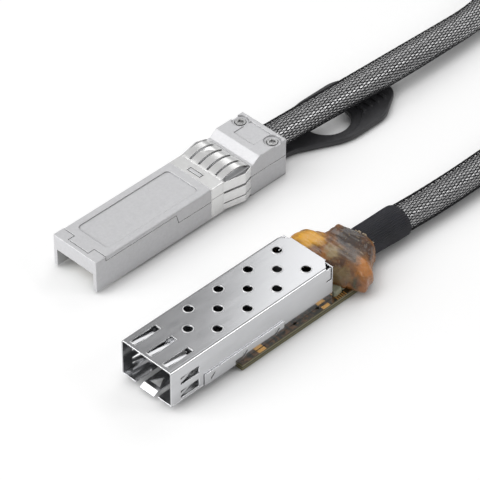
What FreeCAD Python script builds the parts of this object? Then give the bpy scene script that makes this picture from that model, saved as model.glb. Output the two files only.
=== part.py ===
import FreeCAD, Part
import math
import operator
import os
from types import SimpleNamespace

import Sketcher

os.makedirs("parts", exist_ok=True)
doc = FreeCAD.newDocument("direct_attach_cable")

# Driving dimensions in millimetres. X runs from the plug's nose to the cable, Z is up from the table.
sizes = {
    # plug body
    "plug_width": 13.6,
    "plug_height": 8.5,
    "belly_height": 0.6,
    "belly_plate": 1.2,
    "plug_wall": 1.0,
    "cover_plate": 1.2,
    "cover_seam": 5.4,
    "cover_gap": 0.15,
    "cover_round": 0.35,
    "seam_groove": 0.12,
    "seam_groove_depth": 0.25,
    "cover_step_start": 24.3,
    "cover_step_end": 25.0,
    "nose_bar": 2.9,
    "nose_bar_depth": 3.8,
    "nose_opening": 12.0,
    "tongue_width": 6.5,
    "tongue_front": 1.05,
    "label_start": 5.2,
    "label_margin": 2.1,
    "label_width": 10.0,
    "label_depth": 0.25,
    "label_corner": 1.2,
    "rib_start": 10.0,
    "rib_length": 2.0,
    # grounding clip round the plug
    "clip_reach": 12.3,
    "clip_band": 4.0,
    "clip_sheet": 0.25,
    "clip_flange": 0.1,
    "clip_seam": 5.8,
    "clip_seam_gap": 0.1,
    "clip_window_width": 4.1,
    "clip_window_length": 1.3,
    "clip_window_setback": 1.9,
    "nub_gap": 0.2,
    "corner_gap": 0.4,
    "finger_rise": 0.95,
    "finger_fall": 0.35,
    "finger_dip": 0.42,
    "finger_well": 0.75,
    "finger_strip": 0.6,
    "finger_join": 0.3,
    "finger_lift": 0.03,
    "finger_pitch": 2.7,
    "finger_gap": 0.62,
    "finger_gaps": 4,
    "side_finger_rise": 1.2,
    "side_finger_knee": 2.6,
    "side_finger_foot": 0.35,
    "side_finger_round": 0.5,
    "side_low_start": 0.9,
    "side_low_end": 2.6,
    "side_middle_start": 2.9,
    "side_middle_end": 5.5,
    "side_high_start": 6.1,
    "side_high_end": 8.7,
    # plug head
    "head_start": 47.5,
    "head_length": 11.3,
    "head_width": 13.9,
    "head_height": 10.1,
    "head_ledge": 0.7,
    "head_lip": 8.6,
    "head_slope": 2.1,
    "head_panel_front": 4.6,
    "head_panel_back": 1.1,
    "head_panel_width": 6.4,
    "head_panel_depth": 0.2,
    "screw_setback": 2.6,
    "screw_spread": 10.2,
    "screw_head": 2.5,
    "screw_head_height": 1.0,
    "screw_sink": 0.3,
    "screw_counterbore": 2.8,
    "screw_recess": 4.2,
    "screw_recess_depth": 0.45,
    "screw_shank": 1.36,
    "screw_clearance": 1.7,
    "screw_tip": 1.5,
    "screw_tip_room": 0.3,
    "screw_socket": 1.5,
    "screw_socket_depth": 0.5,
    "thread_gap": 0.02,
    # cable end and its clamp in the head
    "cable_width": 7.0,
    "core_width": 6.0,
    "core_setback": 1.4,
    "cable_exit_height": 5.6,
    "cable_inset": 1.5,
    "cable_gap": 0.05,
    "bore_gap": 0.1,
    "ferrule_setback": 2.6,
    "ferrule_cover": 1.7,
    "ferrule_width": 7.4,
    "ferrule_gap": 0.05,
    # circuit card in the plug
    "card_start": 1.6,
    "card_gap": 0.5,
    "card_width": 10.8,
    "card_height": 3.0,
    "card_thickness": 1.0,
    "card_bevel": 0.3,
    "ledge_start": 13.0,
    "ledge_width": 0.8,
    "contact_inset": 0.5,
    "contact_pitch": 0.8,
    "contact_count": 10,
    "contact_width": 0.5,
    "contact_length": 3.6,
    "contact_plating": 0.06,
    "chip_start": 14.0,
    "chip_length": 4.4,
    "chip_width": 3.0,
    "chip_height": 0.9,
    # shielded pairs of the cable
    "pair_gap": 0.2,
    "pair_low": 4.0,
    "pair_width": 2.7,
    "pair_height": 1.3,
    "pair_spread": 3.3,
    "conductor_width": 0.5,
    "conductor_height": 0.45,
    "conductor_spread": 1.3,
    "conductor_length": 2.6,
    "conductor_join": 0.1,
    # latch under the plug
    "channel_length": 16.5,
    "channel_wall": 0.5,
    "channel_width": 5.2,
    "channel_roof": 3.4,
    "inner_floor": 3.8,
    "pivot_setback": 3.0,
    "pivot_height": 2.0,
    "pivot_pin": 1.0,
    "pivot_boss": 2.1,
    "pivot_gap": 0.03,
    "pin_seat_gap": 0.02,
    "pin_bite": 1.0,
    "rocker_gap": 1.0,
    "rocker_width": 4.4,
    "rocker_low": 1.45,
    "rocker_high": 2.5,
    "post_length": 2.4,
    "post_setback": 2.2,
    "post_width": 2.5,
    "post_low": 0.1,
    "cam_setback": 0.3,
    "cam_length": 1.6,
    "cam_high": 1.75,
    "cam_travel": 2.0,
    "cam_room": 0.2,
    "cam_roof": 1.9,
    "spring_setback": 2.3,
    "spring_length": 5.6,
    "spring_width": 2.6,
    "spring_sheet": 0.12,
    "spring_gap": 0.02,
    # release strap and pull tab
    "strap_setback": 3.5,
    "strap_anchor": 6.4,
    "strap_width": 4.6,
    "strap_low": 0.95,
    "strap_thickness": 0.35,
    "strap_window_front": 2.2,
    "strap_window_back": 0.6,
    "strap_window_width": 3.2,
    "slot_gap": 0.1,
    "tab_gap": 0.8,
    "tab_neck_length": 4.9,
    "tab_flare_length": 12.5,
    "tab_wide_length": 12.5,
    "tab_taper_length": 8.5,
    "tab_neck_width": 7.0,
    "tab_width": 17.7,
    "tab_tip_width": 7.4,
    "tab_lean": 0.9,
    "tab_low": 0.1,
    "tab_thickness": 1.4,
    "tab_hole_setback": 1.3,
    "tab_hole_width": 11.6,
    "tab_neck_round": 9.0,
    "tab_side_round": 14.0,
    "tab_end_round": 8.0,
    "tab_tip_round": 4.2,
    "tab_edge_round": 0.4,
    "tab_rib_setback": 3.1,
    "tab_rib_pitch": 2.3,
    "tab_rib_count": 4,
    "tab_rib_width": 0.9,
    "tab_rib_length": 9.0,
    "tab_rib_rise": 0.3,
    # socket cage, in its own frame with X from its mouth and Y from its middle
    "socket_rear": 34.3,
    "socket_y": -37.6,
    "cage_length": 48.7,
    "cage_width": 15.0,
    "cage_height": 9.6,
    "cage_sheet": 0.3,
    "cage_bend": 0.3,
    "vent_width": 2.2,
    "vent_margin": 5.15,
    "vent_spread": 4.4,
    "vent_first_outer": 16.7,
    "vent_first_middle": 12.25,
    "vent_count": 4,
    "window_start": 1.0,
    "window_end": 8.2,
    "window_width": 1.7,
    "window_spread": 4.9,
    "leaf_width": 0.9,
    "leaf_dip": 0.8,
    "leaf_end": 7.2,
    "side_window_start": 2.8,
    "side_window_end": 8.2,
    "side_window_width": 2.0,
    "side_window_low": 3.5,
    "side_window_high": 7.2,
    "cage_corner_cut": 2.2,
    "rear_opening": 3.2,
    "rear_slit": 0.35,
    "rear_slit_foot": 1.2,
    "rear_slit_low": 7.2,
    "tail_setback": 11.7,
    "tail_pitch": 7.0,
    "tail_width": 0.6,
    "tail_low": 0.1,
    # cage floor with its latch tongue
    "floor_setback": 15.2,
    "flange_start": 9.6,
    "flange_top": 4.7,
    "notch_first": 11.4,
    "notch_margin": 1.3,
    "notch_count": 3,
    "notch_length": 1.4,
    "notch_low": 2.3,
    "notch_high": 3.7,
    "barb_gap": 0.12,
    "barb_height": 0.2,
    "latch_slot_width": 6.6,
    "latch_slot_length": 14.0,
    "latch_tongue_width": 4.3,
    "latch_hole_start": 2.3,
    "latch_hole_end": 5.0,
    "latch_hole_width": 3.1,
    "latch_lip_length": 1.3,
    "latch_lip_drop": 0.7,
    # host board and its connector
    "board_reach": 29.0,
    "board_overhang": 11.7,
    "board_width": 17.6,
    "board_thickness": 1.6,
    "pin_hole": 1.05,
    "pad_length": 2.2,
    "pad_width": 0.9,
    "pad_setback": 5.2,
    "rear_pad_setback": 4.05,
    "pad_plating": 0.05,
    "joint_pad_setback": 4.1,
    "joint_pad_length": 2.0,
    "joint_pad_width": 0.9,
    "connector_setback": 11.1,
    "connector_length": 8.8,
    "connector_width": 12.6,
    "connector_height": 5.6,
    "card_slot_width": 11.0,
    "card_slot_height": 1.3,
    "card_slot_middle": 4.9,
    "card_slot_depth": 6.4,
    "terminal_inset": 0.6,
    "terminal_width": 0.35,
    "terminal_sheet": 0.2,
    "terminal_gap": 0.05,
    "lower_leg_setback": 2.0,
    "upper_leg_setback": 1.3,
    "terminal_foot": 0.5,
    "board_part_length": 0.8,
    "board_part_width": 1.6,
    "board_part_height": 0.8,
    "board_part_setback": 1.3,
    "board_part_pitch": 2.0,
    "board_part_count": 3,
    "board_part_side": -6.6,
    # cable end at the board
    "lower_cable_y": -38.4,
    "lower_core_height": 3.6,
    "lower_core_cover": 4.2,
    "band_cover": 1.7,
    "band_length": 11.0,
    "band_wall": 0.55,
    "band_gap": 0.05,
    "board_pair_setback": 6.7,
    "board_pair_spread": 2.9,
    # hardened glue over the joint
    "glue_length": 17.9,
    "glue_low": 0.3,
    "glue_room": 0.3,
    "tunnel_high": 3.3,
}

# Sections of the glue: share of its length, near side, far side, top, corner.
glue_sections = [
    (0.0, -45.3, -30.0, 9.3, 1.6),
    (0.2, -48.2, -28.6, 9.2, 2.4),
    (0.46, -49.3, -28.6, 8.9, 2.8),
    (0.68, -46.9, -31.6, 8.5, 2.6),
    (0.88, -43.9, -33.0, 8.2, 2.2),
    (1.0, -42.9, -33.9, 7.8, 2.0),
]

# Middle line of the cable between its two ends, as control points of a quadratic spline.
cable_route = [
    (102.0, -0.6, 5.6),
    (143.0, -0.3, 3.5),
    (170.3, 22.6, 3.5),
    (207.4, 14.7, 3.5),
    (224.1, -19.45, 3.5),
    (207.4, -53.6, 3.5),
    (170.3, -61.5, 3.5),
    (143.0, -38.6, 3.5),
    (102.0, -38.9, 3.5),
]

operations = {"+": operator.add, "-": operator.sub, "*": operator.mul, "/": operator.truediv}


class Size:
    """A length with its value and the formula over the sheet's cells that gives it."""

    def __init__(self, value, formula):
        self.value = value
        self.formula = formula

    def __add__(self, other):
        return joined(self, "+", other)

    def __radd__(self, other):
        return joined(other, "+", self)

    def __sub__(self, other):
        return joined(self, "-", other)

    def __rsub__(self, other):
        return joined(other, "-", self)

    def __mul__(self, other):
        return joined(self, "*", other)

    def __rmul__(self, other):
        return joined(other, "*", self)

    def __truediv__(self, other):
        return joined(self, "/", other)

    def __neg__(self):
        return joined(0, "-", self)


def as_size(number):
    return number if isinstance(number, Size) else Size(float(number), f"({float(number)})")


def joined(left, sign, right):
    left, right = as_size(left), as_size(right)
    return Size(operations[sign](left.value, right.value), f"({left.formula} {sign} {right.formula})")


def fill_sheet():
    sheet = doc.addObject("Spreadsheet::Sheet", "dims")
    for row, (name, number) in enumerate(sizes.items(), start=1):
        sheet.set(f"A{row}", name)
        sheet.set(f"B{row}", str(number))
        sheet.setAlias(f"B{row}", name)
    doc.recompute()
    return SimpleNamespace(**{name: Size(sheet.get(name), f"dims.{name}") for name in sizes})


d = fill_sheet()
pieces = {}


# An outline is a closed loop of corners (across, up). A corner with two more numbers, a radius and
# a side, is reached by an arc whose centre lies on the left (1) or on the right (-1) of the way there.
def rectangle(left, right, low, high):
    return [(left, low), (right, low), (right, high), (left, high)]


def rounded_rectangle(left, right, low, high, corner):
    return [
        (left + corner, low, corner, 1),
        (right - corner, low),
        (right, low + corner, corner, 1),
        (right, high - corner),
        (right - corner, high, corner, 1),
        (left + corner, high),
        (left, high - corner, corner, 1),
        (left, low + corner),
    ]


def circle(across, up, width):
    return ("circle", as_size(across), as_size(up), as_size(width) / 2)


def hexagon(across, up, flats):
    radius = flats / math.sqrt(3)
    turns = [math.radians(turn) for turn in range(0, 360, 60)]
    return [(across + radius * math.cos(turn), up + radius * math.sin(turn)) for turn in turns]


def oval(across, low, width, height):
    """Flat top and bottom with bowed ends."""
    side = width / 2
    bow = height / 4
    bend = height * 5 / 8
    return [
        (across - side + bow, low, bend, 1),
        (across + side - bow, low),
        (across + side - bow, low + height, bend, 1),
        (across - side + bow, low + height),
    ]


def bowed(start, end, level, rise, sheet):
    """A bowed strip: both of its faces leave the level at start and come back to it at end."""
    chord = end - start
    side = 1 if rise.value > 0 else -1
    bend = (chord * chord / 4 + rise * rise) / (2 * rise) * side
    return [(start, level - sheet, bend, side), (start, level), (end, level, bend, -side), (end, level - sheet)]


def arched(start, end, level, rise, fall, sheet):
    """A bowed strip that leaves the level at start and ends lower by fall, rise above the level between."""
    run = end - start
    arch = rise + fall / 2
    bend = ((run * run + fall * fall) / 4 + arch * arch) / (2 * arch)
    foot = level - fall
    return [(start, level - sheet, bend, 1), (start, level), (end, foot, bend, -1), (end, foot - sheet)]


def kneed(start, knee, end, level, rise, foot, sheet):
    """A strip that slants away from the level up to its knee and comes back to foot above the level."""
    outer = [(start, level), (knee, level + rise), (end, level + foot)]
    return outer + [(across, up - sheet) for across, up in reversed(outer)]


def arc_between(start, end, radius, side):
    chord = end - start
    across = FreeCAD.Vector(-chord.y, chord.x, 0).normalize() * side
    rise = math.sqrt(max(radius**2 - (chord.Length / 2) ** 2, 0))
    centre = (start + end) / 2 + across * rise
    first, last = (start, end) if side > 0 else (end, start)
    angles = [math.atan2(point.y - centre.y, point.x - centre.x) for point in (first, last)]
    if angles[1] < angles[0]:
        angles[1] += 2 * math.pi
    return Part.ArcOfCircle(Part.Circle(centre, FreeCAD.Vector(0, 0, 1), radius), *angles)


def bind(sketch, constraint, size):
    index = sketch.addConstraint(constraint)
    sketch.setExpression(f"Constraints[{index}]", size.formula)


def draw_circle(sketch, outline):
    _, across, up, radius = outline
    centre = FreeCAD.Vector(across.value, up.value, 0)
    edge = sketch.addGeometry(Part.Circle(centre, FreeCAD.Vector(0, 0, 1), radius.value), False)
    bind(sketch, Sketcher.Constraint("DistanceX", -1, 1, edge, 3, across.value), across)
    bind(sketch, Sketcher.Constraint("DistanceY", -1, 1, edge, 3, up.value), up)
    bind(sketch, Sketcher.Constraint("Radius", edge, radius.value), radius)


def draw_loop(sketch, corners):
    corners = [[as_size(corner[0]), as_size(corner[1]), *corner[2:]] for corner in corners]
    points = [FreeCAD.Vector(across.value, up.value, 0) for across, up, *_ in corners]
    edges = []
    for start, point, corner in zip(points, points[1:] + points[:1], corners[1:] + corners[:1], strict=True):
        bend = corner[2:]
        if bend:
            shape = arc_between(start, point, bend[0].value, bend[1])
        else:
            shape = Part.LineSegment(start, point)
        backwards = bool(bend) and bend[1] < 0
        edges.append((sketch.addGeometry(shape, False), bend, (2, 1) if backwards else (1, 2)))
    for number, (edge, bend, (begins, ends)) in enumerate(edges):
        following, _, (next_begins, _) = edges[(number + 1) % len(edges)]
        sketch.addConstraint(Sketcher.Constraint("Coincident", edge, ends, following, next_begins))
        across, up = corners[number][:2]
        bind(sketch, Sketcher.Constraint("DistanceX", -1, 1, edge, begins, across.value), across)
        bind(sketch, Sketcher.Constraint("DistanceY", -1, 1, edge, begins, up.value), up)
        if bend:
            bind(sketch, Sketcher.Constraint("Radius", edge, bend[0].value), bend[0])


class Piece:
    """One physical piece of the product, made of features along the row axes."""

    def __init__(self, node, at=(0, 0, 0)):
        self.node = node
        self.body = doc.addObject("PartDesign::Body", node)
        self.body.Label = node
        for axis, place in zip("xyz", at, strict=True):
            self.body.setExpression(f"Placement.Base.{axis}", as_size(place).formula)
        self.features = 0
        pieces[node] = self.body

    def origin(self, role):
        return next(feature for feature in self.body.Origin.OriginFeatures if feature.Role == role)

    def feature(self, kind):
        self.features += 1
        return self.body.newObject(kind, f"{self.node}_{kind.split('::')[1].lower()}_{self.features}")

    def sketch(self, plane, outlines, offset):
        sketch = self.feature("Sketcher::SketchObject")
        sketch.AttachmentSupport = (self.origin(f"{plane}_Plane"), [""])
        sketch.MapMode = "FlatFace"
        sketch.setExpression("AttachmentOffset.Base.z", offset.formula)
        for outline in outlines:
            if outline[0] == "circle":
                draw_circle(sketch, outline)
            else:
                draw_loop(sketch, outline)
        return sketch

    def extrude(self, kind, plane, outlines, start, end):
        """Grow or cut the outlines between two stations on the axis that the plane faces."""
        start, end = as_size(start), as_size(end)
        facing = -1 if plane == "XZ" else 1
        grows = facing if kind == "Pad" else -facing
        station = start if grows > 0 else end
        sketch = self.sketch(plane, outlines, station if facing > 0 else -station)
        feature = self.feature(f"PartDesign::{kind}")
        feature.Profile = sketch
        feature.setExpression("Length", (end - start).formula)
        return feature

    def add(self, plane, start, end, *outlines):
        return self.extrude("Pad", plane, outlines, start, end)

    def cut(self, plane, start, end, *outlines):
        return self.extrude("Pocket", plane, outlines, start, end)

    def mirror(self, *features):
        mirrored = self.feature("PartDesign::Mirrored")
        mirrored.Originals = list(features)
        mirrored.MirrorPlane = (self.origin("XZ_Plane"), [""])
        self.body.Tip = mirrored

    def repeat(self, axis, pitch, count, *features):
        row = self.feature("PartDesign::LinearPattern")
        row.Originals = list(features)
        row.Direction = (self.origin(f"{axis}_Axis"), [""])
        row.setExpression("Length", (pitch * (count - 1)).formula)
        row.setExpression("Occurrences", as_size(count).formula)
        self.body.Tip = row

    def loft(self, sections):
        """A skin over outlines at several places along X."""
        sketches = [self.sketch("YZ", [outline], as_size(place)) for place, outline in sections]
        feature = self.feature("PartDesign::AdditiveLoft")
        feature.Profile = sketches[0]
        feature.Sections = sketches[1:]
        feature.Ruled = True

    def round(self, radius, chosen):
        """Round those edges of the piece so far that chosen picks."""
        doc.recompute()
        base = self.body.Tip
        names = [f"Edge{number}" for number, edge in enumerate(base.Shape.Edges, start=1) if chosen(edge)]
        rounded = self.feature("PartDesign::Fillet")
        rounded.Base = (base, names)
        rounded.setExpression("Radius", radius.formula)


# Places that several pieces share: first the plug, then the socket.
half = d.plug_width / 2
inner_half = half - d.plug_wall
plug_top = d.belly_height + d.plug_height
cover_low = plug_top - d.cover_plate
head_end = d.head_start + d.head_length
head_half = d.head_width / 2
slope_foot = d.head_start + d.head_ledge
clip_start = d.head_start - d.clip_reach
clip_end = d.head_start - d.clip_flange
clip_half = half - d.clip_sheet
clip_top = plug_top - d.clip_sheet
clip_bottom = d.belly_height + d.clip_sheet
band_edge = clip_start + d.clip_band
finger_start = band_edge - d.finger_join
finger_end = clip_end - d.slot_gap
finger_knee = finger_end - d.side_finger_knee
well_floor = plug_top - d.finger_well
clip_window = band_edge - d.clip_window_setback - d.clip_window_length / 2 + d.nub_gap
channel_half = d.channel_width / 2
channel_end = d.head_start - d.channel_wall
channel_start = channel_end - d.channel_length
inner_floor_start = channel_start - d.plug_wall
card_end = inner_floor_start - d.card_gap
card_top = d.card_height + d.card_thickness
pivot_place = channel_start + d.pivot_setback
post_back = channel_end - d.post_setback
post_tip = post_back - d.post_length
strap_start = pivot_place + d.strap_setback
strap_high = d.strap_low + d.strap_thickness
cam_start = strap_start + d.cam_setback
core_start = d.head_start + d.core_setback
core_end = head_end - d.cable_inset
ferrule_start = d.head_start + d.ferrule_setback
ferrule_end = head_end - d.ferrule_cover
screw_place = head_end - d.screw_setback
screw_side = d.screw_spread / 2
screw_seat = d.head_height - d.screw_sink - d.screw_head_height
tab_start = head_end + d.tab_gap
strap_end = tab_start + d.strap_anchor
floor_length = d.cage_length - d.floor_setback
notch_pitch = (floor_length - d.notch_first - d.notch_length - d.notch_margin) / (d.notch_count - 1)
cage_low = d.board_thickness
cage_top = cage_low + d.cage_height
cage_half = d.cage_width / 2
bay_half = cage_half - d.cage_sheet
floor_top = cage_low + d.cage_sheet
rear_face = d.cage_length - d.cage_sheet
board_half = d.board_width / 2
board_start = d.cage_length - d.board_reach
board_end = d.cage_length + d.board_overhang
board_part_start = d.cage_length + d.board_part_setback
tail_place = d.cage_length - d.tail_setback
connector_start = d.cage_length - d.connector_setback
pad_top = d.board_thickness + d.pad_plating
socket_x = d.socket_rear - d.cage_length
socket = (socket_x, d.socket_y, 0)
glue_end = d.socket_rear + d.glue_length
board_pair_start = d.socket_rear + d.board_pair_setback
lower_core_start = glue_end - d.lower_core_cover
band_start = glue_end - d.band_cover
band_end = band_start + d.band_length


def clip_seat(opening, closed, beyond):
    """Section of the clip's shallow seat: all outside an upright channel that is open at one end."""
    far = half + 1
    return [
        (-far, opening),
        (-clip_half, opening),
        (-clip_half, closed),
        (clip_half, closed),
        (clip_half, opening),
        (far, opening),
        (far, beyond),
        (-far, beyond),
    ]


def cut_cable_seat(piece):
    """Round passage that holds the cable's end and its ferrule in the head."""
    axis = d.cable_exit_height
    piece.cut("YZ", core_start, ferrule_start, circle(0, axis, d.core_width + 2 * d.bore_gap))
    piece.cut(
        "YZ",
        ferrule_start - d.ferrule_gap,
        ferrule_end + d.ferrule_gap,
        circle(0, axis, d.ferrule_width + 2 * d.ferrule_gap),
    )
    piece.cut("YZ", ferrule_end, head_end + 1, circle(0, axis, d.cable_width + 2 * d.bore_gap))


def make_base_shell():
    """Die-cast lower half of the plug: nose, side walls, belly with the latch channel, lower head."""
    shell = Piece("base_shell")
    shell.add("XZ", -half, half, [
        (0, d.belly_height),
        (d.head_start, d.belly_height),
        (d.head_start, d.cover_seam),
        (d.cover_step_end, d.cover_seam),
        (d.cover_step_start, cover_low),
        (d.nose_bar, cover_low),
        (d.nose_bar, plug_top),
        (0, plug_top),
    ])
    shell.add("XY", 0, d.cover_seam, rectangle(d.head_start, head_end, -head_half, head_half))
    shell.cut("XZ", -inner_half, inner_half, [
        (d.nose_bar, d.belly_height + d.belly_plate),
        (inner_floor_start, d.belly_height + d.belly_plate),
        (inner_floor_start, d.inner_floor),
        (core_start, d.inner_floor),
        (core_start, plug_top + 1),
        (d.nose_bar, plug_top + 1),
    ])
    nose_top = plug_top - d.nose_bar_depth
    shell.cut("YZ", -1, d.nose_opening, rectangle(-inner_half, inner_half, 0, nose_top))
    tongue_half = d.tongue_width / 2
    tongue_seat = rectangle(d.tongue_front, d.nose_bar + 1, -tongue_half, tongue_half)
    shell.cut("XY", cover_low, plug_top + 1, tongue_seat)
    ledge = rectangle(d.ledge_start, card_end, inner_half - d.ledge_width, inner_half)
    shell.mirror(shell.add("XY", d.belly_height, d.card_height, ledge))
    channel = rectangle(channel_start, channel_end, -channel_half, channel_half)
    shell.cut("XY", -1, d.channel_roof, channel)
    slot_half = d.strap_width / 2 + d.slot_gap
    slot = rectangle(-slot_half, slot_half, d.strap_low - d.slot_gap, strap_high + d.slot_gap)
    shell.cut("YZ", channel_end - 1, head_end + 1, slot)
    pin_seat = circle(pivot_place, d.pivot_height, d.pivot_pin + 2 * d.pin_seat_gap)
    shell.cut("XZ", -channel_half - d.pin_bite, half + 1, pin_seat)
    cut_cable_seat(shell)
    thread = circle(screw_place, screw_side, d.screw_shank + 2 * d.thread_gap)
    shell.mirror(shell.cut("XY", d.screw_tip - d.screw_tip_room, d.cover_seam + 1, thread))
    shell.cut("YZ", clip_start, clip_end, clip_seat(d.cover_seam + 1, clip_bottom, 0))


def along_top_edge(edge):
    """The two long edges of the cover's plate."""
    box = edge.BoundBox
    long = box.XLength > 1
    return long and box.ZMin > plug_top.value - 0.01 and abs(abs(edge.CenterOfMass.y) - half.value) < 0.01


def make_top_cover():
    """Die-cast upper half of the plug: cover plate with its label recess, upper head."""
    cover = Piece("top_cover")
    front = d.nose_bar + d.cover_gap
    cover.add("XZ", -half, half, [
        (front, cover_low),
        (d.cover_step_start, cover_low),
        (d.cover_step_end, d.cover_seam),
        (d.head_start, d.cover_seam),
        (d.head_start, plug_top),
        (front, plug_top),
    ])
    cover.round(d.cover_round, along_top_edge)
    tongue_half = d.tongue_width / 2 - d.cover_gap
    tongue = rectangle(d.tongue_front + d.cover_gap, front + 1, -tongue_half, tongue_half)
    cover.add("XY", cover_low, plug_top, tongue)
    cover.add("XZ", -head_half, head_half, [
        (d.head_start, d.cover_seam),
        (head_end, d.cover_seam),
        (head_end, d.head_height),
        (slope_foot + d.head_slope, d.head_height),
        (slope_foot, d.head_lip),
        (d.head_start, d.head_lip),
    ])
    hollow = rectangle(d.cover_step_start, core_start, d.belly_height, cover_low)
    cover.cut("XZ", -inner_half, inner_half, hollow)
    well = rectangle(band_edge - d.finger_join + d.slot_gap, d.head_start, -half - 1, half + 1)
    cover.cut("XY", well_floor, plug_top + 1, well)
    side = d.label_width / 2
    label = rounded_rectangle(d.label_start, clip_start - d.label_margin, -side, side, d.label_corner)
    cover.cut("XY", plug_top - d.label_depth, plug_top + 1, label)
    side = d.head_panel_width / 2
    panel = rectangle(d.head_start + d.head_panel_front, head_end - d.head_panel_back, -side, side)
    cover.cut("XY", d.head_height - d.head_panel_depth, d.head_height + 1, panel)
    cut_cable_seat(cover)
    clearance = circle(screw_place, screw_side, d.screw_clearance)
    counterbore = circle(screw_place, screw_side, d.screw_counterbore)
    recess = circle(screw_place, screw_side, d.screw_recess)
    cover.mirror(
        cover.cut("XY", d.cover_seam - 1, d.head_height + 1, clearance),
        cover.cut("XY", screw_seat, d.head_height + 1, counterbore),
        cover.cut("XY", d.head_height - d.screw_recess_depth, d.head_height + 1, recess),
    )
    cover.cut("YZ", clip_start, clip_end, clip_seat(d.cover_seam - 1, clip_top, plug_top + 1))
    nub_half = d.clip_window_width / 2 - d.nub_gap
    nub_reach = d.clip_window_length / 2 - d.nub_gap
    nub_start, nub_end = clip_window - nub_reach, clip_window + nub_reach
    cover.add("XY", cover_low, plug_top, rectangle(nub_start, nub_end, -nub_half, nub_half))
    groove = d.seam_groove
    body_groove = [
        (front, cover_low),
        (d.cover_step_start, cover_low),
        (d.cover_step_end, d.cover_seam),
        (clip_start, d.cover_seam),
        (clip_start, d.cover_seam + groove),
        (d.cover_step_end + groove, d.cover_seam + groove),
        (d.cover_step_start + groove, cover_low + groove),
        (front, cover_low + groove),
    ]
    head_groove = rectangle(d.head_start, head_end, d.cover_seam, d.cover_seam + groove)
    cover.mirror(
        cover.cut("XZ", half - d.seam_groove_depth, half + 1, body_groove),
        cover.cut("XZ", head_half - d.seam_groove_depth, head_half + 1, head_groove),
    )
    rib_side = d.card_width / 2 - 2 * d.ledge_width
    rib = rectangle(d.rib_start, d.rib_start + d.rib_length, rib_side, rib_side + d.ledge_width)
    cover.mirror(cover.add("XY", card_top, cover_low, rib))


def add_side_finger(clip, low, high):
    level = half + d.finger_lift
    profile = kneed(
        finger_start, finger_knee, finger_end, level, d.side_finger_rise, d.side_finger_foot, d.clip_sheet
    )
    clip.mirror(clip.add("XY", low, high, profile))


def round_knees(clip):
    clip.round(
        d.side_finger_round,
        lambda edge: edge.BoundBox.ZLength > 1 and abs(edge.CenterOfMass.x - finger_knee.value) < 0.01,
    )


def make_grounding_clips():
    """Sheet-metal clip in two halves, each a band with bowed fingers that run back to the head."""
    seam = d.clip_seam + d.clip_seam_gap
    finger_half = clip_half - d.corner_gap
    upper = Piece("grounding_clip_upper")
    upper.add("YZ", clip_start, band_edge, [
        (-half, seam),
        (-clip_half, seam),
        (-clip_half, clip_top),
        (clip_half, clip_top),
        (clip_half, seam),
        (half, seam),
        (half, plug_top - d.cover_round),
        (half - d.cover_round, plug_top, d.cover_round, 1),
        (-half + d.cover_round, plug_top),
        (-half, plug_top - d.cover_round, d.cover_round, 1),
    ])
    level = plug_top + d.finger_lift
    profile = arched(finger_start, finger_end, level, d.finger_rise, d.finger_fall, d.clip_sheet)
    upper.add("XZ", -finger_half, finger_half, profile)
    first_gap = -d.finger_pitch * (d.finger_gaps - 1) / 2 - d.finger_gap / 2
    gap = rectangle(band_edge, finger_end - d.finger_strip, first_gap, first_gap + d.finger_gap)
    upper.repeat("Y", d.finger_pitch, d.finger_gaps, upper.cut("XY", cover_low, d.head_height + 1, gap))
    add_side_finger(upper, d.side_high_start, d.side_high_end)
    round_knees(upper)
    across = d.clip_window_width / 2
    along = d.clip_window_length / 2
    window = rectangle(clip_window - along, clip_window + along, -across, across)
    upper.cut("XY", cover_low, plug_top + 1, window)

    lower = Piece("grounding_clip_lower")
    lower.add("YZ", clip_start, band_edge, [
        (-half, d.belly_height),
        (half, d.belly_height),
        (half, d.clip_seam),
        (clip_half, d.clip_seam),
        (clip_half, clip_bottom),
        (-clip_half, clip_bottom),
        (-clip_half, d.clip_seam),
        (-half, d.clip_seam),
    ])
    level = d.belly_height - d.finger_lift
    profile = bowed(finger_start, finger_end, level, -d.finger_dip, -d.clip_sheet)
    lower.mirror(lower.add("XZ", channel_half + d.slot_gap, finger_half, profile))
    add_side_finger(lower, d.side_low_start, d.side_low_end)
    add_side_finger(lower, d.side_middle_start, d.side_middle_end)
    round_knees(lower)


def make_head_screws():
    """Two socket screws that clamp the cover's head on the base."""
    screws = Piece("head_screws")
    top = screw_seat + d.screw_head_height
    shank = circle(screw_place, screw_side, d.screw_shank)
    head = circle(screw_place, screw_side, d.screw_head)
    key = hexagon(screw_place, screw_side, d.screw_socket)
    screws.mirror(
        screws.add("XY", d.screw_tip, screw_seat + d.slot_gap, shank),
        screws.add("XY", screw_seat, top, head),
        screws.cut("XY", top - d.screw_socket_depth, top + 1, key),
    )


def make_card():
    """Circuit card with its edge contacts and the memory chip."""
    card = Piece("paddle_card")
    card_half = d.card_width / 2
    bevel_end = d.card_start + 2 * d.card_bevel
    card.add("XZ", -card_half, card_half, [
        (d.card_start, d.card_height + d.card_bevel),
        (bevel_end, d.card_height),
        (card_end, d.card_height),
        (card_end, card_top),
        (bevel_end, card_top),
        (d.card_start, card_top - d.card_bevel),
    ])

    contacts = Piece("card_contacts")
    start = bevel_end + d.contact_inset
    low = -d.contact_pitch * (d.contact_count - 1) / 2 - d.contact_width / 2
    strip = rectangle(start, start + d.contact_length, low, low + d.contact_width)
    upper = contacts.add("XY", card_top, card_top + d.contact_plating, strip)
    lower = contacts.add("XY", d.card_height - d.contact_plating, d.card_height, strip)
    contacts.repeat("Y", d.contact_pitch, d.contact_count, upper, lower)

    chip = Piece("memory_chip")
    chip_half = d.chip_width / 2
    outline = rectangle(d.chip_start, d.chip_start + d.chip_length, -chip_half, chip_half)
    chip.add("XY", card_top, card_top + d.chip_height, outline)


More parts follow.
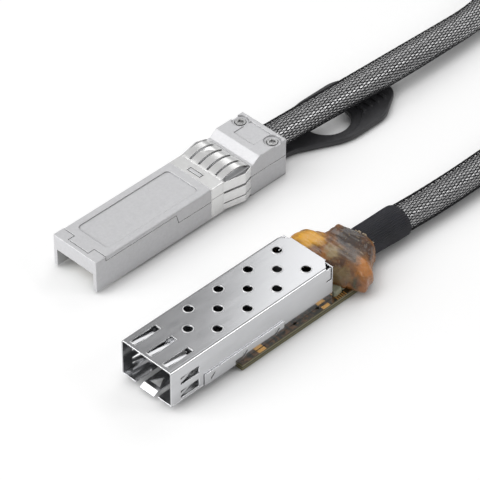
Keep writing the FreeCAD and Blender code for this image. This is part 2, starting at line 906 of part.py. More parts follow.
def wire_places(spread):
    """Middles of the four conductors across two pairs."""
    return [
        sign * spread / 2 + turn * d.conductor_spread / 2
        for sign in (-1, 1)
        for turn in (-1, 1)
    ]


def add_pairs(piece, start, end, middle, spread, low):
    """Two shielded pairs side by side, with the bare conductors that run on to the solder joints."""
    side = spread / 2
    ovals = [oval(middle + place, low, d.pair_width, d.pair_height) for place in (-side, side)]
    piece.add("YZ", start, end, *ovals)
    wire = d.conductor_width / 2
    wires = [
        rectangle(middle + place - wire, middle + place + wire, low, low + d.conductor_height)
        for place in wire_places(spread)
    ]
    piece.add("YZ", start - d.conductor_length, start + d.conductor_join, *wires)


def make_cable_ends():
    """Stripped cable ends at both heads, the clamp ring and the ribbed band."""
    pairs = Piece("plug_twinax_pairs")
    add_pairs(pairs, card_end + d.pair_gap, core_start, 0, d.pair_spread, d.pair_low)
    axis = d.cable_exit_height
    core = Piece("plug_cable_core")
    core.add("YZ", core_start, core_end, circle(0, axis, d.core_width))
    ferrule = Piece("cable_ferrule")
    outer = circle(0, axis, d.ferrule_width)
    inner = circle(0, axis, d.core_width + 2 * d.ferrule_gap)
    ferrule.add("YZ", ferrule_start, ferrule_end, outer, inner)

    board_pairs = Piece("socket_twinax_pairs")
    add_pairs(board_pairs, board_pair_start, lower_core_start, d.lower_cable_y, d.board_pair_spread, pad_top)
    level = d.lower_core_height
    lower_core = Piece("socket_cable_core")
    lower_core.add("YZ", lower_core_start, band_end, circle(d.lower_cable_y, level, d.core_width))
    band = Piece("shrink_band")
    bore = d.core_width + 2 * d.band_gap
    outer = circle(d.lower_cable_y, level, bore + 2 * d.band_wall)
    inner = circle(d.lower_cable_y, level, bore)
    band.add("YZ", band_start, band_end, outer, inner)


def make_latch():
    """Rocking latch with its post and pin, the leaf spring over it, and the strap that works it."""
    rocker = Piece("latch_rocker")
    arm_half = d.rocker_width / 2
    notch_start = cam_start - d.cam_room
    notch_end = cam_start + d.cam_length + d.cam_room
    rocker_end = channel_end - d.rocker_gap
    rocker.add("XZ", -arm_half, arm_half, [
        (pivot_place, d.rocker_low),
        (notch_start, d.rocker_low),
        (notch_start, d.cam_roof),
        (notch_end, d.cam_roof),
        (notch_end + d.cam_travel, d.rocker_low),
        (rocker_end, d.rocker_low),
        (rocker_end, d.rocker_high),
        (pivot_place, d.rocker_high),
    ])
    rocker.add("XZ", -arm_half, arm_half, circle(pivot_place, d.pivot_height, d.pivot_boss))
    post_half = d.post_width / 2
    post = [(post_tip, 0), (post_back, -post_half), (post_back, post_half)]
    rocker.add("XY", d.post_low, d.rocker_low + d.slot_gap, post)
    rocker.cut("XZ", -half, half, circle(pivot_place, d.pivot_height, d.pivot_pin + 2 * d.pivot_gap))

    pin = Piece("latch_pin")
    pin_half = channel_half + d.pin_bite - d.slot_gap
    pin.add("XZ", -pin_half, pin_half, circle(pivot_place, d.pivot_height, d.pivot_pin))

    spring = Piece("latch_spring")
    spring_half = d.spring_width / 2
    spring_start = pivot_place + d.spring_setback
    level = d.rocker_high + d.spring_gap + d.spring_sheet
    rise = d.channel_roof - d.spring_gap - level
    profile = bowed(spring_start, spring_start + d.spring_length, level, rise, d.spring_sheet)
    spring.add("XZ", -spring_half, spring_half, profile)

    strap = Piece("release_strap")
    strap_half = d.strap_width / 2
    window_half = d.strap_window_width / 2
    band = rectangle(strap_start, strap_end, -strap_half, strap_half)
    window_start, window_end = post_tip - d.strap_window_front, post_back + d.strap_window_back
    window = rectangle(window_start, window_end, -window_half, window_half)
    strap.add("XY", d.strap_low, strap_high, band, window)
    cam = rectangle(cam_start, cam_start + d.cam_length, -window_half, window_half)
    strap.add("XY", d.strap_low, d.cam_high, cam)


def make_pull_tab():
    """Rubbery pull tab: narrow neck on the strap, round finger hole, tapered ribbed end."""
    tab = Piece("pull_tab")
    tab_high = d.tab_low + d.tab_thickness
    neck = d.tab_neck_width / 2
    wide = d.tab_width / 2
    tip = d.tab_tip_width / 2
    middle = -d.tab_lean
    neck_end = tab_start + d.tab_neck_length
    wide_start = neck_end + d.tab_flare_length
    wide_end = wide_start + d.tab_wide_length
    tab_end = wide_end + d.tab_taper_length
    tab.add("XY", d.tab_low, tab_high, [
        (tab_start, -neck),
        (neck_end, -neck),
        (wide_start, middle - wide),
        (wide_end, middle - wide),
        (tab_end, middle - tip),
        (tab_end, middle + tip),
        (wide_end, middle + wide),
        (wide_start, middle + wide),
        (neck_end, neck),
        (tab_start, neck),
    ])
    corners = [
        (neck_end, d.tab_neck_round),
        (wide_start, d.tab_side_round),
        (wide_end, d.tab_end_round),
        (tab_end, d.tab_tip_round),
    ]
    for place, radius in corners:
        tab.round(
            radius,
            lambda edge, x=place.value: edge.BoundBox.ZLength > 1 and abs(edge.CenterOfMass.x - x) < 0.01,
        )
    tab.cut("XY", 0, tab_high + 1, circle(wide_start + d.tab_hole_setback, middle, d.tab_hole_width))
    tab.round(d.tab_edge_round, lambda edge: edge.BoundBox.ZLength < 0.01)
    rib_half = d.tab_rib_length / 2
    rib_start = wide_end - d.tab_rib_setback
    rib_end = rib_start + d.tab_rib_width
    corner = d.tab_rib_width / 3
    rib = rounded_rectangle(rib_start, rib_end, middle - rib_half, middle + rib_half, corner)
    raised = tab.add("XY", tab_high - d.tab_rib_rise, tab_high + d.tab_rib_rise, rib)
    tab.repeat("X", d.tab_rib_pitch, d.tab_rib_count, raised)
    strap_half = d.strap_width / 2
    tab.cut("YZ", tab_start - 1, strap_end, rectangle(-strap_half, strap_half, d.strap_low, strap_high))


def make_cage_shell():
    """Sheet-metal cage over the module bay: top, sides and rear wall, with vents and bent leaves."""
    cage = Piece("cage_shell", socket)
    roof = cage_top - d.cage_sheet
    inner, outer = d.cage_bend, d.cage_bend + d.cage_sheet
    cage.add("YZ", 0, d.cage_length, [
        (-cage_half, cage_low),
        (-bay_half, cage_low),
        (-bay_half, roof - inner),
        (-bay_half + inner, roof, inner, -1),
        (bay_half - inner, roof),
        (bay_half, roof - inner, inner, -1),
        (bay_half, cage_low),
        (cage_half, cage_low),
        (cage_half, cage_top - outer),
        (cage_half - outer, cage_top, outer, 1),
        (-cage_half + outer, cage_top),
        (-cage_half, cage_top - outer, outer, 1),
    ])
    cage.add("YZ", rear_face, d.cage_length, rectangle(-bay_half, bay_half, d.rear_opening, roof))
    beyond = cage_half + 1
    cage.cut("YZ", -1, floor_length + d.slot_gap, rectangle(-beyond, beyond, 0, floor_top))
    vents = [
        circle(d.vent_first_outer, d.vent_spread, d.vent_width),
        circle(d.vent_first_outer, -d.vent_spread, d.vent_width),
        circle(d.vent_first_middle, 0, d.vent_width),
    ]
    vent_pitch = (d.cage_length - d.vent_first_outer - d.vent_margin) / (d.vent_count - 1)
    cage.repeat("X", vent_pitch, d.vent_count, cage.cut("XY", roof, cage_top + 1, *vents))

    slot_half = d.window_width / 2
    leaf_half = d.leaf_width / 2
    places = (-d.window_spread, as_size(0), d.window_spread)
    windows = [rectangle(d.window_start, d.window_end, y - slot_half, y + slot_half) for y in places]
    cage.cut("XY", roof, cage_top + 1, *windows)
    root = d.window_start - d.cage_sheet
    for y in places:
        cage.add("XZ", y - leaf_half, y + leaf_half, [
            (root, roof),
            (d.window_start, roof),
            (d.leaf_end, roof - d.leaf_dip),
            (d.leaf_end, cage_top - d.leaf_dip),
            (d.window_start, cage_top),
            (root, cage_top),
        ])

    tall = d.side_window_width / 2
    levels = (d.side_window_low, d.side_window_high)
    windows = [rectangle(d.side_window_start, d.side_window_end, z - tall, z + tall) for z in levels]
    cage.cut("XZ", -beyond, beyond, *windows)
    root = d.side_window_start - d.cage_sheet
    for z in levels:
        leaf = cage.add("XY", z - leaf_half, z + leaf_half, [
            (root, bay_half),
            (d.side_window_start, bay_half),
            (d.leaf_end, bay_half - d.leaf_dip),
            (d.leaf_end, cage_half - d.leaf_dip),
            (d.side_window_start, cage_half),
            (root, cage_half),
        ])
        cage.mirror(leaf)

    cut = d.cage_corner_cut
    corner = cage.cut("XY", roof - d.cage_sheet, cage_top + 1, [
        (d.cage_length - cut, beyond),
        (d.cage_length - cut, cage_half),
        (d.cage_length - d.cage_sheet, cage_half - cut),
        (d.cage_length + 1, cage_half - cut),
        (d.cage_length + 1, beyond),
    ])
    cage.mirror(corner)
    slit_start = rear_face - d.rear_slit
    cage.cut("XZ", -beyond, beyond, [
        (slit_start - d.rear_slit_foot, d.rear_slit_low),
        (rear_face, d.rear_slit_low),
        (rear_face, roof - d.cage_sheet),
        (slit_start, roof - d.cage_sheet),
        (slit_start, d.rear_slit_low + d.rear_slit),
        (slit_start - d.rear_slit_foot, d.rear_slit_low + d.rear_slit),
    ])

    tail_start = tail_place - d.tail_width / 2
    tail_end = tail_place + d.tail_width / 2
    tails = [rectangle(tail_start, tail_end, low, low + d.cage_sheet) for low in (-cage_half, bay_half)]
    cage.repeat("X", d.tail_pitch, 2, cage.add("XY", d.tail_low, floor_top, *tails))
    gap = d.barb_gap
    barb = [
        (d.notch_first + gap, d.notch_low + 3 * gap),
        (d.notch_first + d.notch_length - 3 * gap, d.notch_high - gap),
        (d.notch_first + gap, d.notch_high - gap),
    ]
    far = cage.add("XZ", cage_half - d.slot_gap, cage_half + d.barb_height, barb)
    near = cage.add("XZ", -cage_half - d.barb_height, d.slot_gap - cage_half, barb)
    cage.repeat("X", notch_pitch, d.notch_count, far, near)


def make_cage_floor():
    """Cage floor with upturned side flanges and the springy latch tongue at the mouth."""
    floor = Piece("cage_floor", socket)
    wing = cage_half + d.cage_sheet
    floor.add("XY", cage_low, floor_top, [
        (0, -cage_half),
        (d.flange_start, -cage_half),
        (d.flange_start, -wing),
        (floor_length, -wing),
        (floor_length, wing),
        (d.flange_start, wing),
        (d.flange_start, cage_half),
        (0, cage_half),
    ])
    flange = rectangle(d.flange_start, floor_length, cage_low, d.flange_top)
    floor.mirror(floor.add("XZ", cage_half, wing, flange))
    notch = floor.cut("XZ", -wing - 1, wing + 1, [
        (d.notch_first, d.notch_low),
        (d.notch_first + d.notch_length, d.notch_high),
        (d.notch_first, d.notch_high),
    ])
    floor.repeat("X", notch_pitch, d.notch_count, notch)
    slot_half = d.latch_slot_width / 2
    tongue_half = d.latch_tongue_width / 2
    slots = [
        rectangle(-1, d.latch_slot_length, low, low + slot_half - tongue_half)
        for low in (-slot_half, tongue_half)
    ]
    floor.cut("XY", cage_low - 1, floor_top + 1, *slots)
    hole_half = d.latch_hole_width / 2
    hole = [(d.latch_hole_start, -hole_half), (d.latch_hole_end, 0), (d.latch_hole_start, hole_half)]
    floor.cut("XY", cage_low - 1, floor_top + 1, hole)
    floor.cut("XY", cage_low - 1, floor_top + 1, rectangle(-1, d.latch_lip_length, -tongue_half, tongue_half))
    drop = d.latch_lip_drop
    floor.add("XZ", -tongue_half, tongue_half, [
        (0, cage_low - drop),
        (d.latch_lip_length, cage_low),
        (d.latch_lip_length + d.cage_sheet, cage_low),
        (d.latch_lip_length + d.cage_sheet, floor_top),
        (d.latch_lip_length, floor_top),
        (0, floor_top - drop),
    ])


def make_host_board():
    """Host board with its pads, small parts and the edge connector with two rows of terminals."""
    board = Piece("socket_board", socket)
    board.add("XY", 0, d.board_thickness, rectangle(board_start, board_end, -board_half, board_half))
    tail_line = cage_half - d.cage_sheet / 2
    holes = [circle(tail_place, place, d.pin_hole) for place in (-tail_line, tail_line)]
    board.repeat("X", d.tail_pitch, 2, board.cut("XY", -1, d.board_thickness + 1, *holes))

    pads = Piece("board_pads", socket)
    pad_start = board_start + d.pad_setback
    edge_pads = [
        rectangle(pad_start, pad_start + d.pad_length, low, low + d.pad_width)
        for low in (-board_half, board_half - d.pad_width)
    ]
    pad_pitch = d.cage_length - d.rear_pad_setback - pad_start
    pads.repeat("X", pad_pitch, 2, pads.add("XY", d.board_thickness, pad_top, *edge_pads))
    pad_half = d.joint_pad_width / 2
    joint_start = d.cage_length + d.joint_pad_setback
    middle = d.lower_cable_y - d.socket_y
    joints = [
        rectangle(joint_start, joint_start + d.joint_pad_length,
                  middle + place - pad_half, middle + place + pad_half)
        for place in wire_places(d.board_pair_spread)
    ]
    pads.add("XY", d.board_thickness, pad_top, *joints)

    parts = Piece("board_components", socket)
    low = d.board_part_side - d.board_part_width / 2
    part_end = board_part_start + d.board_part_length
    outline = rectangle(board_part_start, part_end, low, low + d.board_part_width)
    part = parts.add("XY", d.board_thickness, d.board_thickness + d.board_part_height, outline)
    parts.repeat("X", d.board_part_pitch, d.board_part_count, part)

    connector = Piece("host_connector", socket)
    connector_half = d.connector_width / 2
    connector_end = connector_start + d.connector_length
    slot_half = d.card_slot_width / 2
    slot_low = d.card_slot_middle - d.card_slot_height / 2
    slot_high = d.card_slot_middle + d.card_slot_height / 2
    block = rectangle(connector_start, connector_end, -connector_half, connector_half)
    connector.add("XY", d.board_thickness, d.board_thickness + d.connector_height, block)
    slot = rectangle(-slot_half, slot_half, slot_low, slot_high)
    connector.cut("YZ", connector_start - 1, connector_start + d.card_slot_depth, slot)
    sheet = d.terminal_sheet
    room = d.terminal_gap
    first = -d.contact_pitch * (d.contact_count - 1) / 2
    groove_half = d.terminal_width / 2 + room
    grooves = connector.cut(
        "YZ",
        connector_start + d.card_slot_depth - 1,
        connector_end + 1,
        rectangle(first - groove_half, first + groove_half, slot_low, slot_low + sheet + room),
        rectangle(first - groove_half, first + groove_half, slot_high - sheet - room, slot_high),
    )
    connector.repeat("Y", d.contact_pitch, d.contact_count, grooves)

    terminals = Piece("host_terminals", socket)
    start, foot, low = connector_start + d.terminal_inset, d.terminal_foot, d.board_thickness
    lower_leg, upper_leg = d.cage_length - d.lower_leg_setback, d.cage_length - d.upper_leg_setback
    low_strip = [
        (start, slot_low),
        (lower_leg, slot_low),
        (lower_leg, low),
        (lower_leg + foot, low),
        (lower_leg + foot, low + sheet),
        (lower_leg + sheet, low + sheet),
        (lower_leg + sheet, slot_low + sheet),
        (start, slot_low + sheet),
    ]
    high_strip = [
        (start, slot_high - sheet),
        (upper_leg, slot_high - sheet),
        (upper_leg, low),
        (upper_leg + foot, low),
        (upper_leg + foot, low + sheet),
        (upper_leg + sheet, low + sheet),
        (upper_leg + sheet, slot_high),
        (start, slot_high),
    ]
    side = d.terminal_width / 2
    strips = terminals.add("XZ", first - side, first + side, low_strip, high_strip)
    terminals.repeat("Y", d.contact_pitch, d.contact_count, strips)


def glue_section(near, far, top, corner):
    low = d.glue_low.value
    return [
        (near, low + corner),
        (near + corner, low),
        (far - corner, low),
        (far, low + corner),
        (far, top - corner),
        (far - corner, top),
        (near + corner, top),
        (near, top - corner),
    ]


def make_glue():
    """Lump of hardened glue over the solder joints, hollow where board, pairs and cable pass."""
    glue = Piece("glue_blob")
    glue.loft([
        (d.socket_rear + share * d.glue_length, glue_section(*outline)) for share, *outline in glue_sections
    ])
    low, high = d.socket_y - board_half, d.socket_y + board_half
    glue.cut("XY", -1, d.board_thickness, rectangle(socket_x + board_start, socket_x + board_end, low, high))
    tunnel_half = (d.board_pair_spread + d.pair_width) / 2 + d.glue_room
    tunnel_start = board_pair_start - d.conductor_length - d.glue_room
    middle = d.lower_cable_y
    tunnel = rectangle(tunnel_start, lower_core_start, middle - tunnel_half, middle + tunnel_half)
    glue.cut("XY", d.board_thickness - d.glue_room, d.tunnel_high, tunnel)
    passage = d.core_width + 4 * d.band_gap + 2 * d.band_wall
    axis = circle(middle, d.lower_core_height, passage)
    glue.cut("YZ", lower_core_start - d.glue_room, glue_end + 1, axis)
    side = d.socket_y + d.board_part_side - d.board_part_width / 2
    start = socket_x + board_part_start
    seat = rectangle(start, start + d.board_part_length, side, side + d.board_part_width)
    seats = glue.cut("XY", d.board_thickness - d.glue_room, d.board_thickness + d.board_part_height, seat)
    glue.repeat("X", d.board_part_pitch, d.board_part_count, seats)


def make_cable():
    """Flexible cable as straight runs joined by tangent arcs."""
    at_plug = (core_end.value + d.cable_gap.value, 0, d.cable_exit_height.value)
    at_band = (band_end.value + d.cable_gap.value, d.lower_cable_y.value, d.cable_width.value / 2)
    points = [FreeCAD.Vector(*point) for point in (at_plug, *cable_route, at_band)]
    runs = [after - before for before, after in zip(points, points[1:], strict=False)]
    edges = []
    radii = []
    last = points[0]
    for before, after, corner in zip(runs, runs[1:], points[1:], strict=False):
        half_turn = before.getAngle(after) / 2
        reach = 0.45 * min(before.Length, after.Length)
        radius = reach / math.tan(half_turn)
        ahead, back = FreeCAD.Vector(after).normalize(), FreeCAD.Vector(before).normalize()
        inward = (ahead - back).normalize()
        start, end = corner - back * reach, corner + ahead * reach
        middle = corner + inward * (radius / math.cos(half_turn) - radius)
        edges += [Part.LineSegment(last, start).toShape(), Part.Arc(start, middle, end).toShape()]
        radii.append(radius)
        last = end
    edges.append(Part.LineSegment(last, points[-1]).toShape())
    wire = Part.Wire(edges)
    section = Part.Wire(Part.makeCircle(sizes["cable_width"] / 2, points[0], runs[0]))
    cable = doc.addObject("Part::Feature", "cable")
    cable.Label = "cable"
    cable.Shape = wire.makePipeShell([section], True, False)
    cable.Placement = FreeCAD.Placement()
    pieces["cable"] = cable
    expected = wire.Length * math.pi * (sizes["cable_width"] / 2) ** 2
    print(f"cable length {wire.Length:.1f} mm, radii", [round(radius, 1) for radius in radii])
    print(f"cable volume {cable.Shape.Volume:.1f} mm3, section times length {expected:.1f} mm3")


make_base_shell()
make_top_cover()
make_grounding_clips()
make_head_screws()
make_card()
make_cable_ends()
make_latch()
make_pull_tab()
make_cage_shell()
make_cage_floor()
make_host_board()
make_glue()
make_cable()
doc.recompute()

for thing in doc.Objects:
    if "Invalid" in thing.State or "Error" in thing.State:
        print(f"{thing.Label} did not build: {thing.State}")
for node, piece in pieces.items():
    shape = piece.Shape
    box = shape.BoundBox
    corners = [round(v, 2) for v in (box.XMin, box.XMax, box.YMin, box.YMax, box.ZMin, box.ZMax)]
    print(f"{node}: valid {shape.isValid()}, solids {len(shape.Solids)}, {shape.Volume:.2f} mm3, {corners}")
    if shape.isNull() or not shape.isValid() or not shape.Solids:
        raise ValueError(f"{node} has no sound shape")
    shape.exportStep(f"parts/{node}.step")
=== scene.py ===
import math
import random

import bpy
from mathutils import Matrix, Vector, noise


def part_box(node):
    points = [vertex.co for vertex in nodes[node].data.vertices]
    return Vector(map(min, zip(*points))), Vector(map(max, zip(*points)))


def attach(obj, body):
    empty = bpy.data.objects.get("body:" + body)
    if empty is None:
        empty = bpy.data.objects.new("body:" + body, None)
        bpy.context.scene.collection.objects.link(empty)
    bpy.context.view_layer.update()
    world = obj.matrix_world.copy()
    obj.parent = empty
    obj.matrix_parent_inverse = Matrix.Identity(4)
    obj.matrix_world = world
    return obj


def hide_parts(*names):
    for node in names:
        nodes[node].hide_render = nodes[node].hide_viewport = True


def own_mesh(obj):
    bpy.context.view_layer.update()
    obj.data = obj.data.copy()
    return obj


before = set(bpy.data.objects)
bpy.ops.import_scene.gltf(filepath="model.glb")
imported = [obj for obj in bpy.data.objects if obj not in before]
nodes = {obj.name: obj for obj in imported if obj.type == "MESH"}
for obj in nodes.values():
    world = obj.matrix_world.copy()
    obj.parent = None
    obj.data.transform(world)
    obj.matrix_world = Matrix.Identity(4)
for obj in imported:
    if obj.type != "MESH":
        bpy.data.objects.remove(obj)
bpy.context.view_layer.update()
mm = 0.001

# Long lens, looking down across the noses of both heads.
cameraView = {
    "target": Vector((35.0, -16.0, 0.0)) * mm,
    "distance": 729.0 * mm,
    "azimuth": -45.0,
    "elevation": 40.9,
    "focal": 245.4,
    "sensor": 36.0,
    "clip": (0.01, 20.0),
}

# Each softbox: place, aim, width, height, power.
studio = {
    "ambient": 0.33,
    "floorReach": 3.0,
    "floorDrop": 0.1 * mm,  # just under the part, so nothing flickers
    "floor": 0.6,  # for the light that it sends up
    "floorSeen": 0.74,  # for the camera and in mirrors
    "floorGlow": 0.34,
    "floorRoughness": 0.9,
    # Painted contact shadow: within this reach the floor's glow fades next to the part.
    "contact": 4.0 * mm,  # reach of the darker floor where the part meets it
    "contactOpen": (0.4, 0.95),
    "softboxes": {
        "main": ((-0.85, 0.45, 0.84), (0.04, -0.02, 0.0), 1.2, 1.2, 11.5),
        "rear": ((1.255, 0.40, 0.95), (0.04, -0.02, 0.0), 1.1, 1.0, 4.7),
        "edge": ((0.75, -0.95, 0.80), (0.04, -0.02, 0.0), 0.45, 0.45, 2.6),
        "left": ((-1.10, 0.40, 0.45), (0.04, -0.02, 0.0), 0.6, 0.5, 4.0),
    },
}


def addCamera():
    azimuth = math.radians(cameraView["azimuth"])
    elevation = math.radians(cameraView["elevation"])
    away = Vector((
        math.sin(azimuth) * math.cos(elevation),
        -math.cos(azimuth) * math.cos(elevation),
        math.sin(elevation),
    ))
    data = bpy.data.cameras.new("camera")
    data.sensor_width = cameraView["sensor"]
    data.sensor_fit = "HORIZONTAL"
    data.lens = cameraView["focal"]
    data.clip_start, data.clip_end = cameraView["clip"]
    camera = bpy.data.objects.new("camera", data)
    bpy.context.scene.collection.objects.link(camera)
    camera.location = cameraView["target"] + away * cameraView["distance"]
    camera.rotation_euler = (-away).to_track_quat("-Z", "Y").to_euler()
    bpy.context.scene.camera = camera


def addSoftbox(name, place, aim, width, height, power):
    data = bpy.data.lights.new(name, "AREA")
    data.shape = "RECTANGLE"
    data.size = width
    data.size_y = height
    data.energy = power
    light = bpy.data.objects.new(name, data)
    bpy.context.scene.collection.objects.link(light)
    light.location = place
    light.rotation_euler = (Vector(aim) - Vector(place)).to_track_quat("-Z", "Y").to_euler()


# White floor that keeps the part's shadow: it glows a little, and only where it is seen or mirrored;
# near the part the glow fades, a painted contact shadow.
def addFloor():
    reach = studio["floorReach"]
    corners = [(-reach, -reach, 0), (reach, -reach, 0), (reach, reach, 0), (-reach, reach, 0)]
    mesh = bpy.data.meshes.new("floor")
    mesh.from_pydata(corners, [], [(0, 1, 2, 3)])
    floor = bpy.data.objects.new("floor", mesh)
    bpy.context.scene.collection.objects.link(floor)
    floor.location.z = -studio["floorDrop"]
    below, seenColour = (studio["floor"],) * 3, (studio["floorSeen"],) * 3
    material, shader, tree = newMaterial("floorWhite", below, studio["floorRoughness"])
    shader.inputs["Specular IOR Level"].default_value = 0.0
    shader.inputs["Emission Color"].default_value = (1, 1, 1, 1)
    paths = tree.nodes.new("ShaderNodeLightPath")
    seen = paths.outputs["Is Camera Ray"]
    for kind in ("Is Glossy Ray", "Is Transmission Ray"):
        seen = addMath(tree, "MAXIMUM", seen, paths.outputs[kind])
    tree.links.new(addMix(tree, seen, below, seenColour), shader.inputs["Base Color"])
    # Painted contact shadow: less glow where the part encloses the floor.
    openness = addOpenness(tree, studio["contact"], 8)
    glow = addRange(tree, openness, 0.0, studio["floorGlow"], *studio["contactOpen"])
    tree.links.new(addMath(tree, "MULTIPLY", seen, glow), shader.inputs["Emission Strength"])
    mesh.materials.append(material)


def addStudio():
    scene = bpy.context.scene
    scene.view_settings.view_transform = "Standard"
    world = bpy.data.worlds.new("studio")
    scene.world = world
    world.use_nodes = True
    background = world.node_tree.nodes["Background"]
    background.inputs["Color"].default_value = (1, 1, 1, 1)
    background.inputs["Strength"].default_value = studio["ambient"]
    for name, setting in studio["softboxes"].items():
        addSoftbox(name, *setting)
    addFloor()
    print("studio done")


# A material with its main shader and its tree of nodes.
def newMaterial(name, colour, roughness, metallic=0.0):
    material = bpy.data.materials.new(name)
    material.use_nodes = True
    tree = material.node_tree
    shader = tree.nodes["Principled BSDF"]
    shader.inputs["Base Color"].default_value = (*colour, 1)
    shader.inputs["Roughness"].default_value = roughness
    shader.inputs["Metallic"].default_value = metallic
    return material, shader, tree


def addPlace(tree, stretch=(1, 1, 1)):
    coordinates = tree.nodes.new("ShaderNodeTexCoord")
    mapping = tree.nodes.new("ShaderNodeMapping")
    mapping.inputs["Scale"].default_value = stretch
    tree.links.new(coordinates.outputs["Object"], mapping.inputs["Vector"])
    return mapping.outputs["Vector"]


def addNoise(tree, scale, detail=3.0, stretch=(1, 1, 1), place=None):
    texture = tree.nodes.new("ShaderNodeTexNoise")
    texture.inputs["Scale"].default_value = scale
    texture.inputs["Detail"].default_value = detail
    tree.links.new(place or addPlace(tree, stretch), texture.inputs["Vector"])
    return texture.outputs["Fac"]


def addRamp(tree, value, stops):
    ramp = tree.nodes.new("ShaderNodeValToRGB")
    ramp.color_ramp.elements[0].position = stops[0][0]
    ramp.color_ramp.elements[0].color = (*stops[0][1], 1)
    ramp.color_ramp.elements[1].position = stops[-1][0]
    ramp.color_ramp.elements[1].color = (*stops[-1][1], 1)
    for position, colour in stops[1:-1]:
        ramp.color_ramp.elements.new(position).color = (*colour, 1)
    tree.links.new(value, ramp.inputs["Fac"])
    return ramp.outputs["Color"]


def addRange(tree, value, low, high, start=0.3, end=0.7):
    spread = tree.nodes.new("ShaderNodeMapRange")
    spread.inputs["From Min"].default_value = start
    spread.inputs["From Max"].default_value = end
    spread.inputs["To Min"].default_value = low
    spread.inputs["To Max"].default_value = high
    tree.links.new(value, spread.inputs["Value"])
    return spread.outputs["Result"]


def addMath(tree, operation, first, second):
    step = tree.nodes.new("ShaderNodeMath")
    step.operation = operation
    tree.links.new(first, step.inputs[0])
    tree.links.new(second, step.inputs[1])
    return step.outputs["Value"]


# How open the surface is within a reach: 1 in the open, less in joints and corners.
def addOpenness(tree, reach, samples):
    nearby = tree.nodes.new("ShaderNodeAmbientOcclusion")
    nearby.samples = samples
    nearby.inputs["Distance"].default_value = reach
    return nearby.outputs["AO"]


def addBevel(tree, radius, samples):
    bevel = tree.nodes.new("ShaderNodeBevel")
    bevel.samples = samples
    bevel.inputs["Radius"].default_value = radius
    return bevel.outputs["Normal"]


def addMix(tree, share, first, second):
    blend = tree.nodes.new("ShaderNodeMix")
    blend.data_type = "RGBA"
    tree.links.new(share, blend.inputs["Factor"])
    for value, socket in ((first, blend.inputs["A"]), (second, blend.inputs["B"])):
        if isinstance(value, tuple):
            socket.default_value = (*value, 1)
        else:
            tree.links.new(value, socket)
    return blend.outputs["Result"]


def addBump(tree, shader, height, distance, strength=1.0, edge=0.0):
    bump = tree.nodes.new("ShaderNodeBump")
    bump.inputs["Strength"].default_value = strength
    bump.inputs["Distance"].default_value = distance
    tree.links.new(height, bump.inputs["Height"])
    if edge > 0:
        tree.links.new(addBevel(tree, edge, 4), bump.inputs["Normal"])
    tree.links.new(bump.outputs["Normal"], shader.inputs["Normal"])


# Painted light: painted shade darkens joints and corners, and a painted highlight brightens rounded
# edges that lie open.
paintedLight = {
    "samples": 6,
    "jointOpen": (0.25, 0.8),
    "edgeOpen": (0.6, 0.95),
    "edgeBend": (0.78, 0.98),
    "bright": (0.96, 0.96, 0.97),
}


def addPaintedLight(tree, colour, look):
    openness = addOpenness(tree, look["crevice"] * mm, paintedLight["samples"])
    # Painted shade: the colour goes towards a darker copy where nearby surfaces enclose it.
    paintedShadeShare = addRange(tree, openness, 1.0, 0.0, *paintedLight["jointOpen"])
    paintedShadeColour = tuple(part * look["paintedShade"] for part in look["colour"])
    colour = addMix(tree, paintedShadeShare, colour, paintedShadeColour)
    # Painted highlight: a near-white colour mixed in along rounded edges that lie open.
    facing = tree.nodes.new("ShaderNodeNewGeometry")
    bend = tree.nodes.new("ShaderNodeVectorMath")
    bend.operation = "DOT_PRODUCT"
    tree.links.new(addBevel(tree, look["edge"] * mm, paintedLight["samples"]), bend.inputs[0])
    tree.links.new(facing.outputs["Normal"], bend.inputs[1])
    paintedEdgeHighlight = addRange(tree, bend.outputs["Value"], look["shine"], 0.0, *paintedLight["edgeBend"])
    exposed = addRange(tree, openness, 0.0, 1.0, *paintedLight["edgeOpen"])
    return addMix(tree, addMath(tree, "MULTIPLY", paintedEdgeHighlight, exposed), colour, paintedLight["bright"])


# Metals: a fine grain in the surface and a slight unevenness in colour and gloss.
metalGrain = {"stops": (0.3, 0.7), "gloss": (0.92, 1.1), "detail": 2.0, "bump": 0.7}


def metalMaterial(name, look):
    material, shader, tree = newMaterial(name, look["colour"], look["roughness"], look["metallic"])
    stretch, detail = look.get("stretch", (1, 1, 1)), metalGrain["detail"]
    tone = addNoise(tree, look["tone"], detail, stretch)
    darker = tuple(part * look["worn"] for part in look["colour"])
    colour = addRamp(tree, tone, list(zip(metalGrain["stops"], (darker, look["colour"]))))
    # Painted shade in joints and corners, and painted highlights along open edges, over the metal's
    # colour.
    tree.links.new(addPaintedLight(tree, colour, look), shader.inputs["Base Color"])
    gloss = addRange(tree, tone, *(look["roughness"] * part for part in metalGrain["gloss"]))
    tree.links.new(gloss, shader.inputs["Roughness"])
    grain = addNoise(tree, look["grain"], detail, stretch)
    addBump(tree, shader, grain, look["depth"] * mm, metalGrain["bump"], look["edge"] * mm)
    return material


# Plain materials: mottled between the colour and a lighter one, finely grained.
plainGrain = {
    "mottle": 500.0, "stops": (0.35, 0.65), "lighter": 1.25,
    "grain": 2500.0, "bump": 0.6, "depth": 0.02, "edge": 0.1,
}


def plainMaterial(name, look):
    look = {**plainGrain, **look}
    material, shader, tree = newMaterial(name, look["colour"], look["roughness"])
    mottle = addNoise(tree, look["mottle"], 2.0)
    bright = tuple(min(1.0, part * look["lighter"]) for part in look["colour"])
    colour = addRamp(tree, mottle, list(zip(look["stops"], (look["colour"], bright))))
    tree.links.new(colour, shader.inputs["Base Color"])
    grain = addNoise(tree, look["grain"])
    addBump(tree, shader, grain, look["depth"] * mm, look["bump"], look["edge"] * mm)
    return material


